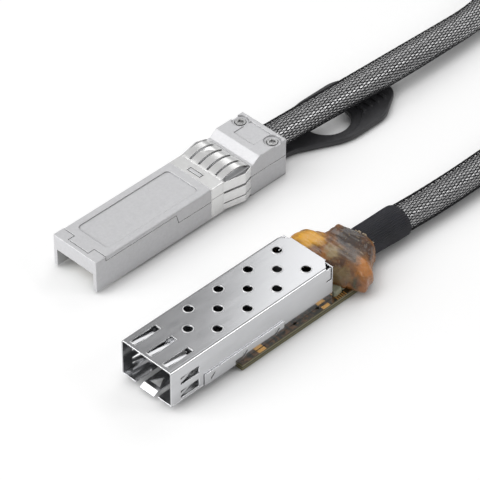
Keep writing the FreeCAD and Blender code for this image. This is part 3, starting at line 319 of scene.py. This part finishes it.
# Circuit board: dark solder mask on top, pale and dark layers of the laminate at the edge.
def boardMaterial(name, look):
    material, shader, tree = newMaterial(name, look["mask"], look["roughness"])
    coordinates = tree.nodes.new("ShaderNodeTexCoord")
    parts = tree.nodes.new("ShaderNodeSeparateXYZ")
    tree.links.new(coordinates.outputs["Object"], parts.inputs["Vector"])
    height = addRange(tree, parts.outputs["Z"], 0.0, 1.0, 0.0, look["thickness"] * mm)
    layers = addRamp(tree, height, look["layers"])
    facing = tree.nodes.new("ShaderNodeNewGeometry")
    tilt = tree.nodes.new("ShaderNodeSeparateXYZ")
    tree.links.new(facing.outputs["Normal"], tilt.inputs["Vector"])
    upper = addRange(tree, tilt.outputs["Z"], 0.0, 1.0, *look["upper"])
    mottle = addNoise(tree, look["tone"], 2.0)
    mask = addRamp(tree, mottle, list(zip(look["stops"], (look["mask"], look["copper"]))))
    tree.links.new(addMix(tree, upper, layers, mask), shader.inputs["Base Color"])
    grain = addNoise(tree, look["grain"], 2.0)
    addBump(tree, shader, grain, look["depth"] * mm, look["bump"], look["edge"] * mm)
    return material


def addPiece(name, vertices, faces, material, slot, body="main", smooth=True):
    mesh = bpy.data.meshes.new(name)
    mesh.from_pydata(vertices, [], faces)
    mesh.materials.append(material)
    mesh.update()
    if smooth:
        mesh.shade_smooth()
    piece = bpy.data.objects.new(name, mesh)
    bpy.context.scene.collection.objects.link(piece)
    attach(piece, body)
    return piece


# Walls between rings of the same number of points, each ring closed in itself.
def joinRings(rings, caps=True):
    vertices = [point for ring in rings for point in ring]
    count = len(rings[0])
    faces = []
    for row in range(len(rings) - 1):
        for step in range(count):
            after = (step + 1) % count
            low, high = row * count, (row + 1) * count
            faces.append((low + step, low + after, high + after, high + step))
    if caps:
        faces.append(tuple(reversed(range(count))))
        faces.append(tuple(range(len(vertices) - count, len(vertices))))
    return vertices, faces


# Rings joined in a loop, the last one to the first one.
def joinLoop(rings):
    vertices, faces = joinRings(rings + rings[:1], caps=False)
    kept = len(vertices) - len(rings[0])
    return vertices[:kept], [tuple(corner % kept for corner in face) for face in faces]


def addFaces(vertices, faces, more, sides):
    first = len(vertices)
    vertices += more
    faces += [tuple(first + corner for corner in face) for face in sides]


def between(pair, share):
    return pair[0] + (pair[1] - pair[0]) * share


# Value at share in a table of steps, eased from one to the next.
def readTable(table, share):
    for (start, low), (end, high) in zip(table, table[1:]):
        if share <= end:
            part = (share - start) / (end - start)
            part = part * part * (3 - 2 * part)
            if isinstance(low, tuple):
                return tuple(a + (b - a) * part for a, b in zip(low, high))
            return low + (high - low) * part
    return table[-1][1]


# Cable: control points from the plug's head round the loop to the sleeve at the glue.
cordRoute = [
    (0.0573, 0.0, 0.0056),
    (0.0705, -0.0006, 0.0056),
    (0.102, -0.0023, 0.0056),
    (0.143, -0.0012, 0.0035),
    (0.1703, 0.0226, 0.0035),
    (0.2074, 0.0147, 0.0035),
    (0.2241, -0.01945, 0.0035),
    (0.2074, -0.0536, 0.0035),
    (0.1703, -0.0615, 0.0035),
    (0.143, -0.0386, 0.0035),
    (0.102, -0.0396, 0.0035),
    (0.074, -0.04, 0.0035),
    (0.0615, -0.0389, 0.0035),
]

cordLook = {
    "diameter": 7.0 * mm,
    "smoothness": 24,
    "roundness": 6,
    "jacket": 3.19 * mm,
    "jacketSag": Vector((0.0, -0.1, -0.08)) * mm,
    "flatten": [(0.0, 1.0), (0.7, 1.0), (0.85, 1.1), (1.0, 1.12)],
    "girth": [(0.0, 0.96), (0.042, 1.03), (0.075, 0.96), (0.4, 0.95)],
    "strands": 30,
    "pitch": (69.0 * mm, 62.0 * mm),
    "strandWidth": 0.205 * mm,
    "strandRise": 0.1 * mm,
    "braidRadius": 3.36 * mm,
    "weave": 0.045 * mm,
    "weaveSteep": 1.7,
    "step": 0.5 * mm,
    "strandColour": (0.012, 0.012, 0.014),
    "strandRoughness": (0.4, 0.6),
    "strandTone": 900.0,
    "strandShine": 0.25,
    "jacketColour": (0.97, 0.97, 0.98),
    "jacketTone": 700.0,
    "jacketStops": (0.35, 0.6),
    "jacketDull": 0.9,
    "jacketRoughness": 0.42,
    "jacketMetal": 0.6,
}


def routeCurve(name, thickness, shift=Vector()):
    data = bpy.data.curves.new(name, "CURVE")
    data.dimensions = "3D"
    data.resolution_u = cordLook["smoothness"]
    spline = data.splines.new("NURBS")
    spline.points.add(len(cordRoute) - 1)
    runs = [(Vector(b) - Vector(a)).length for a, b in zip(cordRoute, cordRoute[1:])]
    for number, (point, place) in enumerate(zip(spline.points, cordRoute)):
        point.co = (*(Vector(place) + shift), 1.0)
        point.radius = readTable(cordLook["girth"], sum(runs[:number]))
    spline.order_u = 3
    spline.use_endpoint_u = True
    spline.use_smooth = True
    data.bevel_depth = thickness
    data.bevel_resolution = cordLook["roundness"]
    data.use_fill_caps = thickness > 0
    curve = bpy.data.objects.new(name, data)
    bpy.context.scene.collection.objects.link(curve)
    return curve


# Closely spaced points read from the route's own spline.
def routePoints():
    guide = routeCurve("routeGuide", 0.0)
    bpy.context.view_layer.update()
    mesh = bpy.data.meshes.new_from_object(guide)
    line = [vertex.co.copy() for vertex in mesh.vertices]
    bpy.data.objects.remove(guide)
    start = Vector(cordRoute[0])
    if (line[0] - start).length > (line[-1] - start).length:
        line.reverse()
    return line


def evenPoints(line, step):
    lengths = [0.0]
    for before, after in zip(line, line[1:]):
        lengths.append(lengths[-1] + (after - before).length)
    count = int(lengths[-1] / step)
    points = []
    at = 0
    for number in range(count + 1):
        goal = lengths[-1] * number / count
        while at < len(lengths) - 2 and lengths[at + 1] < goal:
            at += 1
        share = (goal - lengths[at]) / max(lengths[at + 1] - lengths[at], 1e-9)
        points.append(line[at].lerp(line[at + 1], share))
    return points, lengths[-1]


# Two crosswise directions at each point, carried along without twist.
def carriedFrames(points):
    frames = []
    across = Vector((0, 1, 0))
    for number in range(len(points)):
        before = points[max(number - 1, 0)]
        after = points[min(number + 1, len(points) - 1)]
        ahead = (after - before).normalized()
        across = (across - ahead * across.dot(ahead)).normalized()
        frames.append((across.copy(), ahead.cross(across)))
    return frames


# Two-over-two braid: strands turning right and left, each passing over two and under two.
def addBraid(line, material):
    points, length = evenPoints(line, cordLook["step"])
    frames = carriedFrames(points)
    count = cordLook["strands"]
    half = cordLook["strandWidth"] / 2
    rise = cordLook["strandRise"]
    turns = [0.0]
    for number in range(len(points) - 1):
        pitch = between(cordLook["pitch"], number / (len(points) - 1))
        turns.append(turns[-1] + 2 * math.pi * length / (len(points) - 1) / pitch)
    pieces = []
    for direction, name in ((1, "braidRight"), (-1, "braidLeft")):
        vertices, faces = [], []
        for strand in range(count):
            rings = []
            for number, (point, (across, up)) in enumerate(zip(points, frames)):
                share = number / (len(points) - 1)
                girth = readTable(cordLook["girth"], share * length)
                wide = readTable(cordLook["flatten"], share)
                turn = 2 * math.pi * strand / count + direction * turns[number]
                over = direction * math.sin(count * turn / 2 + math.pi / 4)
                lift = max(-1.0, min(1.0, cordLook["weaveSteep"] * over)) * cordLook["weave"]
                radius = cordLook["braidRadius"] * girth + lift
                ring = []
                for side, height in ((-1, 0.0), (0, rise), (1, 0.0)):
                    angle = turn + side * half * girth / radius
                    out = across * math.cos(angle) * wide + up * math.sin(angle)
                    ring.append(point + out * (radius + height))
                rings.append(ring)
            addFaces(vertices, faces, *joinRings(rings))
        pieces.append(addPiece(name, vertices, faces, material, "cable_braid"))
    return pieces, length


def addCable():
    look = cordLook
    pale = look["jacketColour"]
    jacket, shader, tree = newMaterial("innerJacket", pale, look["jacketRoughness"], look["jacketMetal"])
    dull = tuple(part * look["jacketDull"] for part in pale)
    tone = addNoise(tree, look["jacketTone"], 2.0)
    tint = addRamp(tree, tone, list(zip(look["jacketStops"], (dull, pale))))
    tree.links.new(tint, shader.inputs["Base Color"])
    strand, shader, tree = newMaterial("braidStrand", look["strandColour"], look["strandRoughness"][0])
    gloss = addRange(tree, addNoise(tree, look["strandTone"], 2.0), *look["strandRoughness"])
    tree.links.new(gloss, shader.inputs["Roughness"])
    shader.inputs["Specular IOR Level"].default_value = look["strandShine"]
    core = routeCurve("cableJacket", look["jacket"], look["jacketSag"])
    core.data.materials.append(jacket)
    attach(core, "main")
    line = routePoints()
    braids, length = addBraid(line, strand)
    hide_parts("cable")
    print("cable done", round(length, 4))


# Black sleeve over the braid's end: fine ribs along it, a little uneven at its rims.
sleeveLook = {
    "start": Vector((47.6, -38.5, 3.63)) * mm,
    "end": Vector((62.0, -39.0, 3.55)) * mm,
    "radius": (3.6 * mm, 3.54 * mm),
    "flat": (1.02, 1.14),
    "lowest": 0.02 * mm,
    "ribs": 46,
    "ribSteps": 4,
    "ribRise": 0.13 * mm,
    "wave": 0.12 * mm,
    "waveAlong": 4,
    "waveRound": 2,
    "rim": 0.1 * mm,
    "ragged": 0.25 * mm,
    "raggedRound": 6,
    "wall": 0.3 * mm,
    "rows": 30,
    "colour": (0.009, 0.009, 0.014),
    "tone": 260.0,
    "stops": (0.35, 0.7),
    "faded": 1.7,
    "roughness": 0.46,
    "shine": 0.45,
    "grain": 2600.0,
    "depth": 0.02 * mm,
    "bump": 0.5,
}


def sleeveMaterial():
    look = sleeveLook
    material, shader, tree = newMaterial("ribbedSleeve", look["colour"], look["roughness"])
    shader.inputs["Specular IOR Level"].default_value = look["shine"]
    faded = tuple(part * look["faded"] for part in look["colour"])
    tone = addNoise(tree, look["tone"], 2.0)
    tint = addRamp(tree, tone, list(zip(look["stops"], (look["colour"], faded))))
    tree.links.new(tint, shader.inputs["Base Color"])
    addBump(tree, shader, addNoise(tree, look["grain"]), look["depth"], look["bump"])
    return material


def sleeveRing(share, shrink, ragged):
    look = sleeveLook
    middle = look["start"].lerp(look["end"], share)
    radius, wide = between(look["radius"], share), between(look["flat"], share)
    count = look["ribs"] * look["ribSteps"]
    points = []
    for step in range(count):
        turn = 2 * math.pi * step / count
        across, up = math.cos(turn), math.sin(turn)
        rib = math.cos(turn * look["ribs"]) * look["ribRise"]
        waves, tatters = look["waveRound"], look["raggedRound"]
        wave = noise.noise(Vector((share * look["waveAlong"], across * waves, up * waves)))
        size = radius + rib + wave * look["wave"] - shrink
        slide = noise.noise(Vector((3, across * tatters, up * tatters))) * ragged
        point = middle + Vector((slide, across * size * wide, up * size))
        point.z = max(point.z, look["lowest"])  # lies flat on the floor
        points.append(point)
    return points


def addSleeve():
    look = sleeveLook
    rows = look["rows"]
    rings = [sleeveRing(0.0, look["wall"], 0.0)]
    for row in range(rows + 1):
        rim = look["rim"] if row in (0, rows) else 0.0
        rings.append(sleeveRing(row / rows, rim, look["ragged"] if row == rows else 0.0))
    rings.append(sleeveRing(1.0, look["wall"], look["ragged"]))
    sleeve = addPiece("ribbedSleeve", *joinLoop(rings), sleeveMaterial(), "band_black")
    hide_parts("shrink_band")
    print("sleeve done")


# Glue: sections from the cage's rear wall to the sleeve.
# Each: place along X, then near side, far side, top at near side, top at far side, bottom.
glueLook = {
    "sections": [
        (34.35, (-42.9, -30.2, 8.6, 9.3, 2.0)),
        (36.0, (-43.0, -29.2, 8.4, 10.2, 2.0)),
        (38.2, (-45.6, -28.4, 7.8, 10.6, 1.0)),
        (40.6, (-49.5, -28.4, 7.4, 10.3, 0.4)),
        (43.0, (-48.5, -29.8, 7.2, 9.2, 0.4)),
        (44.6, (-46.0, -31.8, 7.1, 8.5, 0.4)),
        (46.2, (-44.6, -33.0, 7.4, 9.6, 0.5)),
        (47.4, (-43.9, -33.4, 7.6, 9.2, 0.5)),
        (48.9, (-43.0, -34.0, 7.3, 8.0, 0.3)),
    ],
    "slantStart": 42.0,
    "slantEnd": 47.0,
    "slant": 0.3,
    "seat": Vector((0.0, -38.4, 3.62)),
    "seatRadius": 3.64,
    "rows": 64,
    "count": 96,
    "belly": 0.32,
    "square": 0.72,
    "fadeRows": 5,
    "lastStrength": 0.25,
    "lump": 0.36,
    "lumpSize": 3.0,
    "peak": Vector((48.0, -34.6, 8.0)),
    "peakSize": 1.7,
    "peakRise": 1.5,
    "crack": 0.18,
    "crackSize": 2.3,
    "crackWidth": 0.09,
    "ripple": 0.1,
    "ripples": 1.3,
    "lip": ((0.3, 0.12), (0.2, 0.0), (-1.2, 0.0)),
    "lowest": 0.02,
    "amber": (0.36, 0.15, 0.04),
    "brown": (0.1, 0.045, 0.022),
    "vein": (0.66, 0.5, 0.28),
    "roughness": (0.2, 0.42),
    "cloudStops": (0.38, 0.56),
    "veinStops": (0.6, 0.74),
    "veinShare": 0.5,
    "grain": 0.05,
    "bump": 0.7,
    "scales": {"warp": 420.0, "clouds": 330.0, "veins": 1500.0, "gloss": 800.0, "grain": 1900.0},
    "shader": {
        "Subsurface Weight": 0.18,
        "Subsurface Radius": (0.0022, 0.001, 0.0004),
        "Subsurface Scale": 1.0,
        "Coat Weight": 0.2,
        "Coat Roughness": 0.12,
    },
    "warp": 5.0,
    "zoneCore": 0.45,
    "zones": [
        ((38.6, -33.4, 8.8), 4.6, (0.82, 0.42, 0.045)),
        ((42.6, -43.6, 7.4), 4.4, (0.14, 0.1, 0.075)),
        ((46.2, -39.0, 8.2), 5.6, (0.078, 0.062, 0.055)),
        ((43.4, -46.8, 6.0), 3.4, (0.62, 0.25, 0.07)),
        ((37.6, -43.6, 5.5), 3.0, (0.27, 0.19, 0.09)),
        ((39.6, -46.4, 3.6), 2.0, (0.09, 0.09, 0.05)),
        ((39.8, -40.2, 8.8), 2.6, (0.36, 0.27, 0.15)),
        ((41.0, -49.0, 2.0), 3.2, (0.4, 0.16, 0.06)),
    ],
}


def glueRing(place, outline):
    near, far, topNear, topFar, low = outline
    middle, half = (near + far) / 2, (far - near) / 2
    square = glueLook["square"]
    ring = []
    for step in range(glueLook["count"]):
        turn = 2 * math.pi * step / glueLook["count"]
        side, rise = math.cos(turn), math.sin(turn)
        side = math.copysign(abs(side) ** square, side)
        rise = math.copysign(abs(rise) ** square, rise)
        top = between((topNear, topFar), (side + 1) / 2)
        centre = low + (top - low) * glueLook["belly"]
        height = centre + (top - centre) * rise if rise > 0 else centre + (centre - low) * rise
        ring.append(Vector((place, middle + half * side, height)))
    return ring


def lumpy(point, strength):
    lump = noise.noise(point / glueLook["lumpSize"]) * glueLook["lump"]
    near = noise.voronoi(point / glueLook["crackSize"])[0]
    crack = math.exp(-(near[1] - near[0]) / glueLook["crackWidth"]) * glueLook["crack"]
    ripple = noise.noise(point * glueLook["ripples"] + Vector((7, 3, 1))) * glueLook["ripple"]
    return (lump - crack + ripple) * strength


# Amber with brown clouds, tinted in zones round places on the lump, with pale veins.
def glueMaterial():
    look = glueLook
    scales = look["scales"]
    material, shader, tree = newMaterial("hardGlue", look["amber"], look["roughness"][0])
    place = addPlace(tree)
    texture = tree.nodes.new("ShaderNodeTexNoise")
    texture.inputs["Scale"].default_value = scales["warp"]
    texture.inputs["Detail"].default_value = 3.0
    tree.links.new(place, texture.inputs["Vector"])
    shift = tree.nodes.new("ShaderNodeVectorMath")
    shift.operation = "MULTIPLY_ADD"
    warp = Vector((1, 1, 1)) * look["warp"] * mm
    tree.links.new(texture.outputs["Color"], shift.inputs[0])
    shift.inputs[1].default_value = warp
    tree.links.new(place, shift.inputs[2])
    warped = shift.outputs["Vector"]
    cloud = addNoise(tree, scales["clouds"], 4.0, place=place)
    colour = addRamp(tree, cloud, list(zip(look["cloudStops"], (look["brown"], look["amber"]))))
    for centre, radius, tint in look["zones"]:
        apart = tree.nodes.new("ShaderNodeVectorMath")
        apart.operation = "DISTANCE"
        tree.links.new(warped, apart.inputs[0])
        apart.inputs[1].default_value = Vector(centre) * mm + warp / 2
        core = radius * look["zoneCore"] * mm
        share = addRange(tree, apart.outputs["Value"], 1.0, 0.0, core, radius * mm)
        colour = addMix(tree, share, colour, tint)
    veins = addNoise(tree, scales["veins"], 4.0, place=warped)
    share = addRange(tree, veins, 0.0, look["veinShare"], *look["veinStops"])
    colour = addMix(tree, share, colour, look["vein"])
    tree.links.new(colour, shader.inputs["Base Color"])
    gloss = addRange(tree, addNoise(tree, scales["gloss"], 2.0), *look["roughness"])
    tree.links.new(gloss, shader.inputs["Roughness"])
    for name, value in look["shader"].items():
        shader.inputs[name].default_value = value
    addBump(tree, shader, addNoise(tree, scales["grain"]), look["grain"] * mm, look["bump"])
    return material


# The lump ends on a slant, further out at its near side.
def slanted(point):
    look = glueLook
    share = (point.x - look["slantStart"]) / (look["slantEnd"] - look["slantStart"])
    return max(0.0, min(1.0, share)) * look["slant"] * (look["seat"].y - point.y)


def addGlue():
    look = glueLook
    rows, sections = look["rows"], look["sections"]
    start, end = sections[0][0], sections[-1][0]
    rings = []
    for row in range(rows + 1):
        place = start + (end - start) * row / rows
        ring = glueRing(place, readTable(sections, place))
        middle = sum(ring, Vector()) / len(ring)
        fade = look["fadeRows"]
        strength = min(1.0, row / fade, (rows - row) / fade + look["lastStrength"])
        ring = [point + (point - middle).normalized() * lumpy(point, strength) for point in ring]
        for point in ring:
            apart = (point - look["peak"]).length / look["peakSize"]
            point.z += look["peakRise"] * math.exp(-apart * apart)
        rings.append(ring)
    # The seat for the sleeve: a lip turned in to the sleeve and a pocket behind it.
    for beyond, wider in look["lip"]:
        size = look["seatRadius"] + wider
        ring = []
        for step in range(look["count"]):
            turn = 2 * math.pi * step / look["count"]
            place = Vector((end + beyond, math.cos(turn) * size, math.sin(turn) * size))
            ring.append(place + look["seat"])
        rings.append(ring)
    for ring in rings:
        for point in ring:
            point.x += slanted(point)
            point.z = max(point.z, look["lowest"])
    vertices, faces = joinRings([[point * mm for point in ring] for ring in rings])
    glue = addPiece("hardGlue", vertices, faces, glueMaterial(), "glue")
    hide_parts("glue_blob")
    print("glue done")


# Crumbs of glue caught along the rim that faces the sleeve.
crumbLook = {
    "seed": 5,
    "count": 16,
    "around": (70, 200),
    "radius": 3.66,
    "off": (0.0, 0.15),
    "beyond": (0.1, 0.7),
    "size": (0.14, 0.4),
    "spin": (0, 6),
    "sides": 5,
    "uneven": (0.6, 1.3),
    "material": {"colour": (0.42, 0.34, 0.24), "roughness": 0.3, "lighter": 1.4},
}


def addCrumbs():
    look = crumbLook
    sides = look["sides"]
    material = plainMaterial("glueCrumbs", look["material"])
    random.seed(look["seed"])
    vertices, faces = [], []
    for _ in range(look["count"]):
        turn = math.radians(random.uniform(*look["around"]))
        radius = look["radius"] + random.uniform(*look["off"])
        rim = glueLook["sections"][-1][0] + random.uniform(*look["beyond"])
        place = glueLook["seat"] + Vector((rim, math.cos(turn) * radius, math.sin(turn) * radius))
        place.x += slanted(place)
        size = random.uniform(*look["size"])
        spin = random.uniform(*look["spin"])
        corners = [(0, 0, 1), (0, 0, -1)]
        for part in range(sides):
            angle = spin + part * 2 * math.pi / sides
            corners.append((math.cos(angle), math.sin(angle), 0))
        crumb = []
        for corner in corners:
            stretch = random.uniform(*look["uneven"])
            crumb.append((place + Vector(corner) * size * stretch) * mm)
        above = [(0, 2 + part, 2 + (part + 1) % sides) for part in range(sides)]
        below = [(1, after, before) for _, before, after in above]
        addFaces(vertices, faces, crumb, above + below)
    addPiece("glueCrumbs", vertices, faces, material, "glue", smooth=False)
    print("crumbs done")


# A pale chip and short plated strips at the board's near edge, by the glue.
chipLook = {
    "place": Vector((36.0, -44.2, 1.6)),
    "size": Vector((2.7, 2.3, 1.3)),
    "slope": 0.16,
    "turn": 9.0,
}
stripLook = {
    "start": Vector((34.9, -45.85, 1.6)),
    "size": Vector((0.3, 1.1, 0.12)),
    "slope": 0.05,
    "pitch": 0.62,
    "count": 5,
}
# Corners as shares of half the size, and for each height the share of the slope reached there.
blockLook = {
    "corners": [
        (-1, -0.7), (-0.8, -1), (0.8, -1), (1, -0.7),
        (1, 0.7), (0.8, 1), (-0.8, 1), (-1, 0.7),
    ],
    "levels": [(0.0, 0.0), (0.72, 0.4), (1.0, 1.0)],
}


def softBlock(place, size, slope, turn=0.0):
    spin = math.radians(turn)
    rings = []
    for level, drawn in blockLook["levels"]:
        ring = []
        for x, y in blockLook["corners"]:
            along = x * (size.x / 2 - slope * drawn)
            aside = y * (size.y / 2 - slope * drawn)
            turned = Vector((
                along * math.cos(spin) - aside * math.sin(spin),
                along * math.sin(spin) + aside * math.cos(spin),
                level * size.z,
            ))
            ring.append((place + turned) * mm)
        rings.append(ring)
    return joinRings(rings)


def addBoardParts(ceramic, plating):
    look = chipLook
    block = softBlock(look["place"], look["size"], look["slope"], look["turn"])
    addPiece("boardChip", *block, ceramic, "part_grey", smooth=False)
    look = stripLook
    vertices, faces = [], []
    for number in range(look["count"]):
        place = look["start"] + Vector((number * look["pitch"], 0, 0))
        addFaces(vertices, faces, *softBlock(place, look["size"], look["slope"]))
    addPiece("edgeStrips", vertices, faces, plating, "contact_gold", smooth=False)
    print("board parts done")


# Raised burrs round the cage's punched vents and leaf windows, in a metal painted lighter than the cage:
# a painted highlight on their rims.
# Places are from the middle of the mouth: vents of the first row, and the windows' middle lines.
burrLook = {
    "profile": [(0.0, -0.02), (0.01, 0.11), (0.55, 0.077), (1.0, -0.02)],
    "width": 0.26,
    "vents": [(16.7, 4.4), (16.7, -4.4), (12.25, 0.0)],
    "ventWidth": 2.2,
    "ventPoints": 32,
    "ventPitch": 8.95,
    "ventRows": 4,
    "windows": [-4.9, 0.0, 4.9],
    "windowEnds": (1.0, 8.2),
    "windowWidth": 1.7,
}


def ventOutline(middle):
    half, count = burrLook["ventWidth"] / 2, burrLook["ventPoints"]
    turns = [2 * math.pi * step / count for step in range(count)]
    return [middle + Vector((math.cos(turn), math.sin(turn), 0)) * half for turn in turns]


def windowOutline(middle):
    start, end = burrLook["windowEnds"]
    long, wide = (end - start) / 2, burrLook["windowWidth"] / 2
    corners = [(-long, -wide), (long, -wide), (long, wide), (-long, wide)]
    return [middle + Vector((along, aside, 0)) for along, aside in corners]


def burrRings(outline, middle):
    rings = []
    for share, rise in burrLook["profile"]:
        ring = []
        for point in outline:
            out = (point - middle).normalized() * burrLook["width"] * share
            ring.append((point + out + Vector((0, 0, rise))) * mm)
        rings.append(ring)
    return rings


def addBurrs(material):
    look = burrLook
    low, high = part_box("cage_shell")
    mouth = Vector((low.x, (low.y + high.y) / 2, high.z)) / mm
    vertices, faces = [], []
    for row in range(look["ventRows"]):
        for along, aside in look["vents"]:
            middle = mouth + Vector((along + row * look["ventPitch"], aside, 0))
            addFaces(vertices, faces, *joinLoop(burrRings(ventOutline(middle), middle)))
    for aside in look["windows"]:
        middle = mouth + Vector((sum(look["windowEnds"]) / 2, aside, 0))
        addFaces(vertices, faces, *joinLoop(burrRings(windowOutline(middle), middle)))
    addPiece("ventBurrs", vertices, faces, material, "cage_metal")
    print("burrs done")


# Pull tab: a fine raised line round the finger hole's outer end.
tabLook = {
    "hole": Vector((78.3, -0.9, 1.5)),
    "radius": 8.3,
    "stretch": (1.12, 0.9),
    "from": -100.0,
    "to": 62.0,
    "steps": 48,
    "width": 0.26,
    "rise": 0.2,
    "sunk": 0.05,
}


def addTabLine(material):
    look = tabLook
    long, wide = look["stretch"]
    rings = []
    for step in range(look["steps"] + 1):
        turn = math.radians(look["from"] + (look["to"] - look["from"]) * step / look["steps"])
        out = Vector((math.cos(turn) * long, math.sin(turn) * wide, 0))
        fade = math.sin(math.pi * step / look["steps"]) ** 0.5
        ring = []
        for side, rise in ((-0.5, -look["sunk"]), (0.0, look["rise"] * fade), (0.5, -look["sunk"])):
            point = look["hole"] + out * (look["radius"] + side * look["width"])
            ring.append((point + Vector((0, 0, rise))) * mm)
        rings.append(ring)
    vertices, faces = joinRings(rings)
    addPiece("tabLine", vertices, faces, material, "tab_rubber", body="release")
    print("tab line done")


# Bowed leaf spring over the latch rocker.
springLook = {
    "start": 35.8,
    "length": 5.6,
    "halfWidth": 1.3,
    "level": 2.64,
    "rise": 0.74,
    "sheet": 0.12,
    "roof": 3.4,
    "steps": 20,
    "pressed": 0.42,
}


def addLeafSpring(material):
    look = springLook
    rings = []
    for step in range(look["steps"] + 1):
        share = step / look["steps"]
        along = look["start"] + look["length"] * share
        high = look["level"] + look["rise"] * (1 - (2 * share - 1) ** 2)
        low, half = high - look["sheet"], look["halfWidth"]
        corners = ((-half, low), (half, low), (half, high), (-half, high))
        rings.append([Vector((along, across, height)) * mm for across, height in corners])
    vertices, faces = joinRings(rings)
    spring = addPiece("leafSpring", vertices, faces, material, "clip_metal", smooth=False)
    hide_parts("latch_spring")
    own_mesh(spring)
    print("spring done")


addCamera()
addStudio()
addCable()
addSleeve()
addGlue()
addCrumbs()

# Per metal: the reach and depth of the painted shade in joints, and the strength of the painted edge
# highlight.
metalLooks = {
    "castNickel": {
        "colour": (0.69, 0.69, 0.705), "roughness": 0.3, "metallic": 0.2,
        "tone": 1400.0, "worn": 0.93, "grain": 3600.0, "depth": 0.05, "edge": 0.3,
        "crevice": 0.8, "paintedShade": 0.06, "shine": 0.9,
    },
    "clipSteel": {
        "colour": (0.9, 0.9, 0.895), "roughness": 0.2, "metallic": 0.55,
        "tone": 900.0, "worn": 0.95, "grain": 1600.0, "depth": 0.006, "edge": 0.08,
        "crevice": 0.5, "paintedShade": 0.2, "shine": 0.5,
    },
    "screwSteel": {
        "colour": (0.6, 0.6, 0.6), "roughness": 0.28, "metallic": 0.9,
        "tone": 1800.0, "worn": 0.85, "grain": 3000.0, "depth": 0.01, "edge": 0.12,
        "crevice": 0.5, "paintedShade": 0.12, "shine": 0.7,
    },
    "cageTin": {
        "colour": (0.61, 0.615, 0.63), "roughness": 0.13, "metallic": 0.95,
        "tone": 500.0, "worn": 0.93, "grain": 900.0, "depth": 0.003, "edge": 0.2,
        "crevice": 0.3, "paintedShade": 0.3, "shine": 0.8, "stretch": (0.25, 1, 1),
    },
    # Burr metal lighter than the cage's: a painted highlight on the burrs' rims.
    "burrPaintedHighlight": {
        "colour": (0.9, 0.9, 0.91), "roughness": 0.3, "metallic": 0.4,
        "tone": 1500.0, "worn": 0.85, "grain": 2500.0, "depth": 0.01, "edge": 0.05,
        "crevice": 0.1, "paintedShade": 0.6, "shine": 0.3,
    },
    "contactGold": {
        "colour": (0.75, 0.42, 0.13), "roughness": 0.35, "metallic": 0.6,
        "tone": 1500.0, "worn": 0.75, "grain": 2000.0, "depth": 0.01, "edge": 0.05,
        "crevice": 0.3, "paintedShade": 0.4, "shine": 0.2,
    },
}
plainLooks = {
    "blackPlastic": {"colour": (0.02, 0.02, 0.02), "roughness": 0.45},
    "tabRubber": {"colour": (0.036, 0.036, 0.039), "roughness": 0.42, "depth": 0.03, "edge": 0.4},
    "cardGreen": {"colour": (0.02, 0.1, 0.05), "roughness": 0.3},
    "partGrey": {"colour": (0.36, 0.37, 0.27), "roughness": 0.45},
    "pairWrap": {"colour": (0.6, 0.6, 0.6), "roughness": 0.3},
}
boardLook = {
    "mask": (0.025, 0.024, 0.012), "copper": (0.16, 0.08, 0.03), "roughness": 0.35,
    "thickness": 1.6, "upper": (0.6, 0.9), "tone": 1100.0, "stops": (0.45, 0.62),
    "grain": 2200.0, "bump": 0.6, "depth": 0.02, "edge": 0.08,
    "layers": [
        (0.0, (0.17, 0.155, 0.07)), (0.42, (0.2, 0.18, 0.085)), (0.5, (0.045, 0.04, 0.02)),
        (0.62, (0.06, 0.05, 0.025)), (0.68, (0.36, 0.32, 0.17)), (0.8, (0.3, 0.26, 0.13)),
        (0.86, (0.07, 0.055, 0.025)), (1.0, (0.1, 0.08, 0.03)),
    ],
}
made = {name: metalMaterial(name, look) for name, look in metalLooks.items()}
made.update({name: plainMaterial(name, look) for name, look in plainLooks.items()})
made["boardOlive"] = boardMaterial("boardOlive", boardLook)

dressTable = {
    "castNickel": ["base_shell", "top_cover", "latch_rocker"],
    "clipSteel": ["grounding_clip_upper", "grounding_clip_lower", "release_strap"],
    "screwSteel": ["head_screws", "cable_ferrule", "latch_pin"],
    "cageTin": ["cage_shell", "cage_floor"],
    "contactGold": ["card_contacts", "host_terminals", "board_pads"],
    "blackPlastic": ["memory_chip", "plug_cable_core", "host_connector", "socket_cable_core"],
    "tabRubber": ["pull_tab"],
    "cardGreen": ["paddle_card"],
    "boardOlive": ["socket_board"],
    "partGrey": ["board_components"],
    "pairWrap": ["plug_twinax_pairs", "socket_twinax_pairs"],
}
for name, dressed in dressTable.items():
    for node in dressed:
        nodes[node].data.materials.clear()
        nodes[node].data.materials.append(made[name])
addBurrs(made["burrPaintedHighlight"])
addTabLine(made["tabRubber"])
addLeafSpring(made["clipSteel"])
addBoardParts(made["partGrey"], made["contactGold"])
print("materials done")
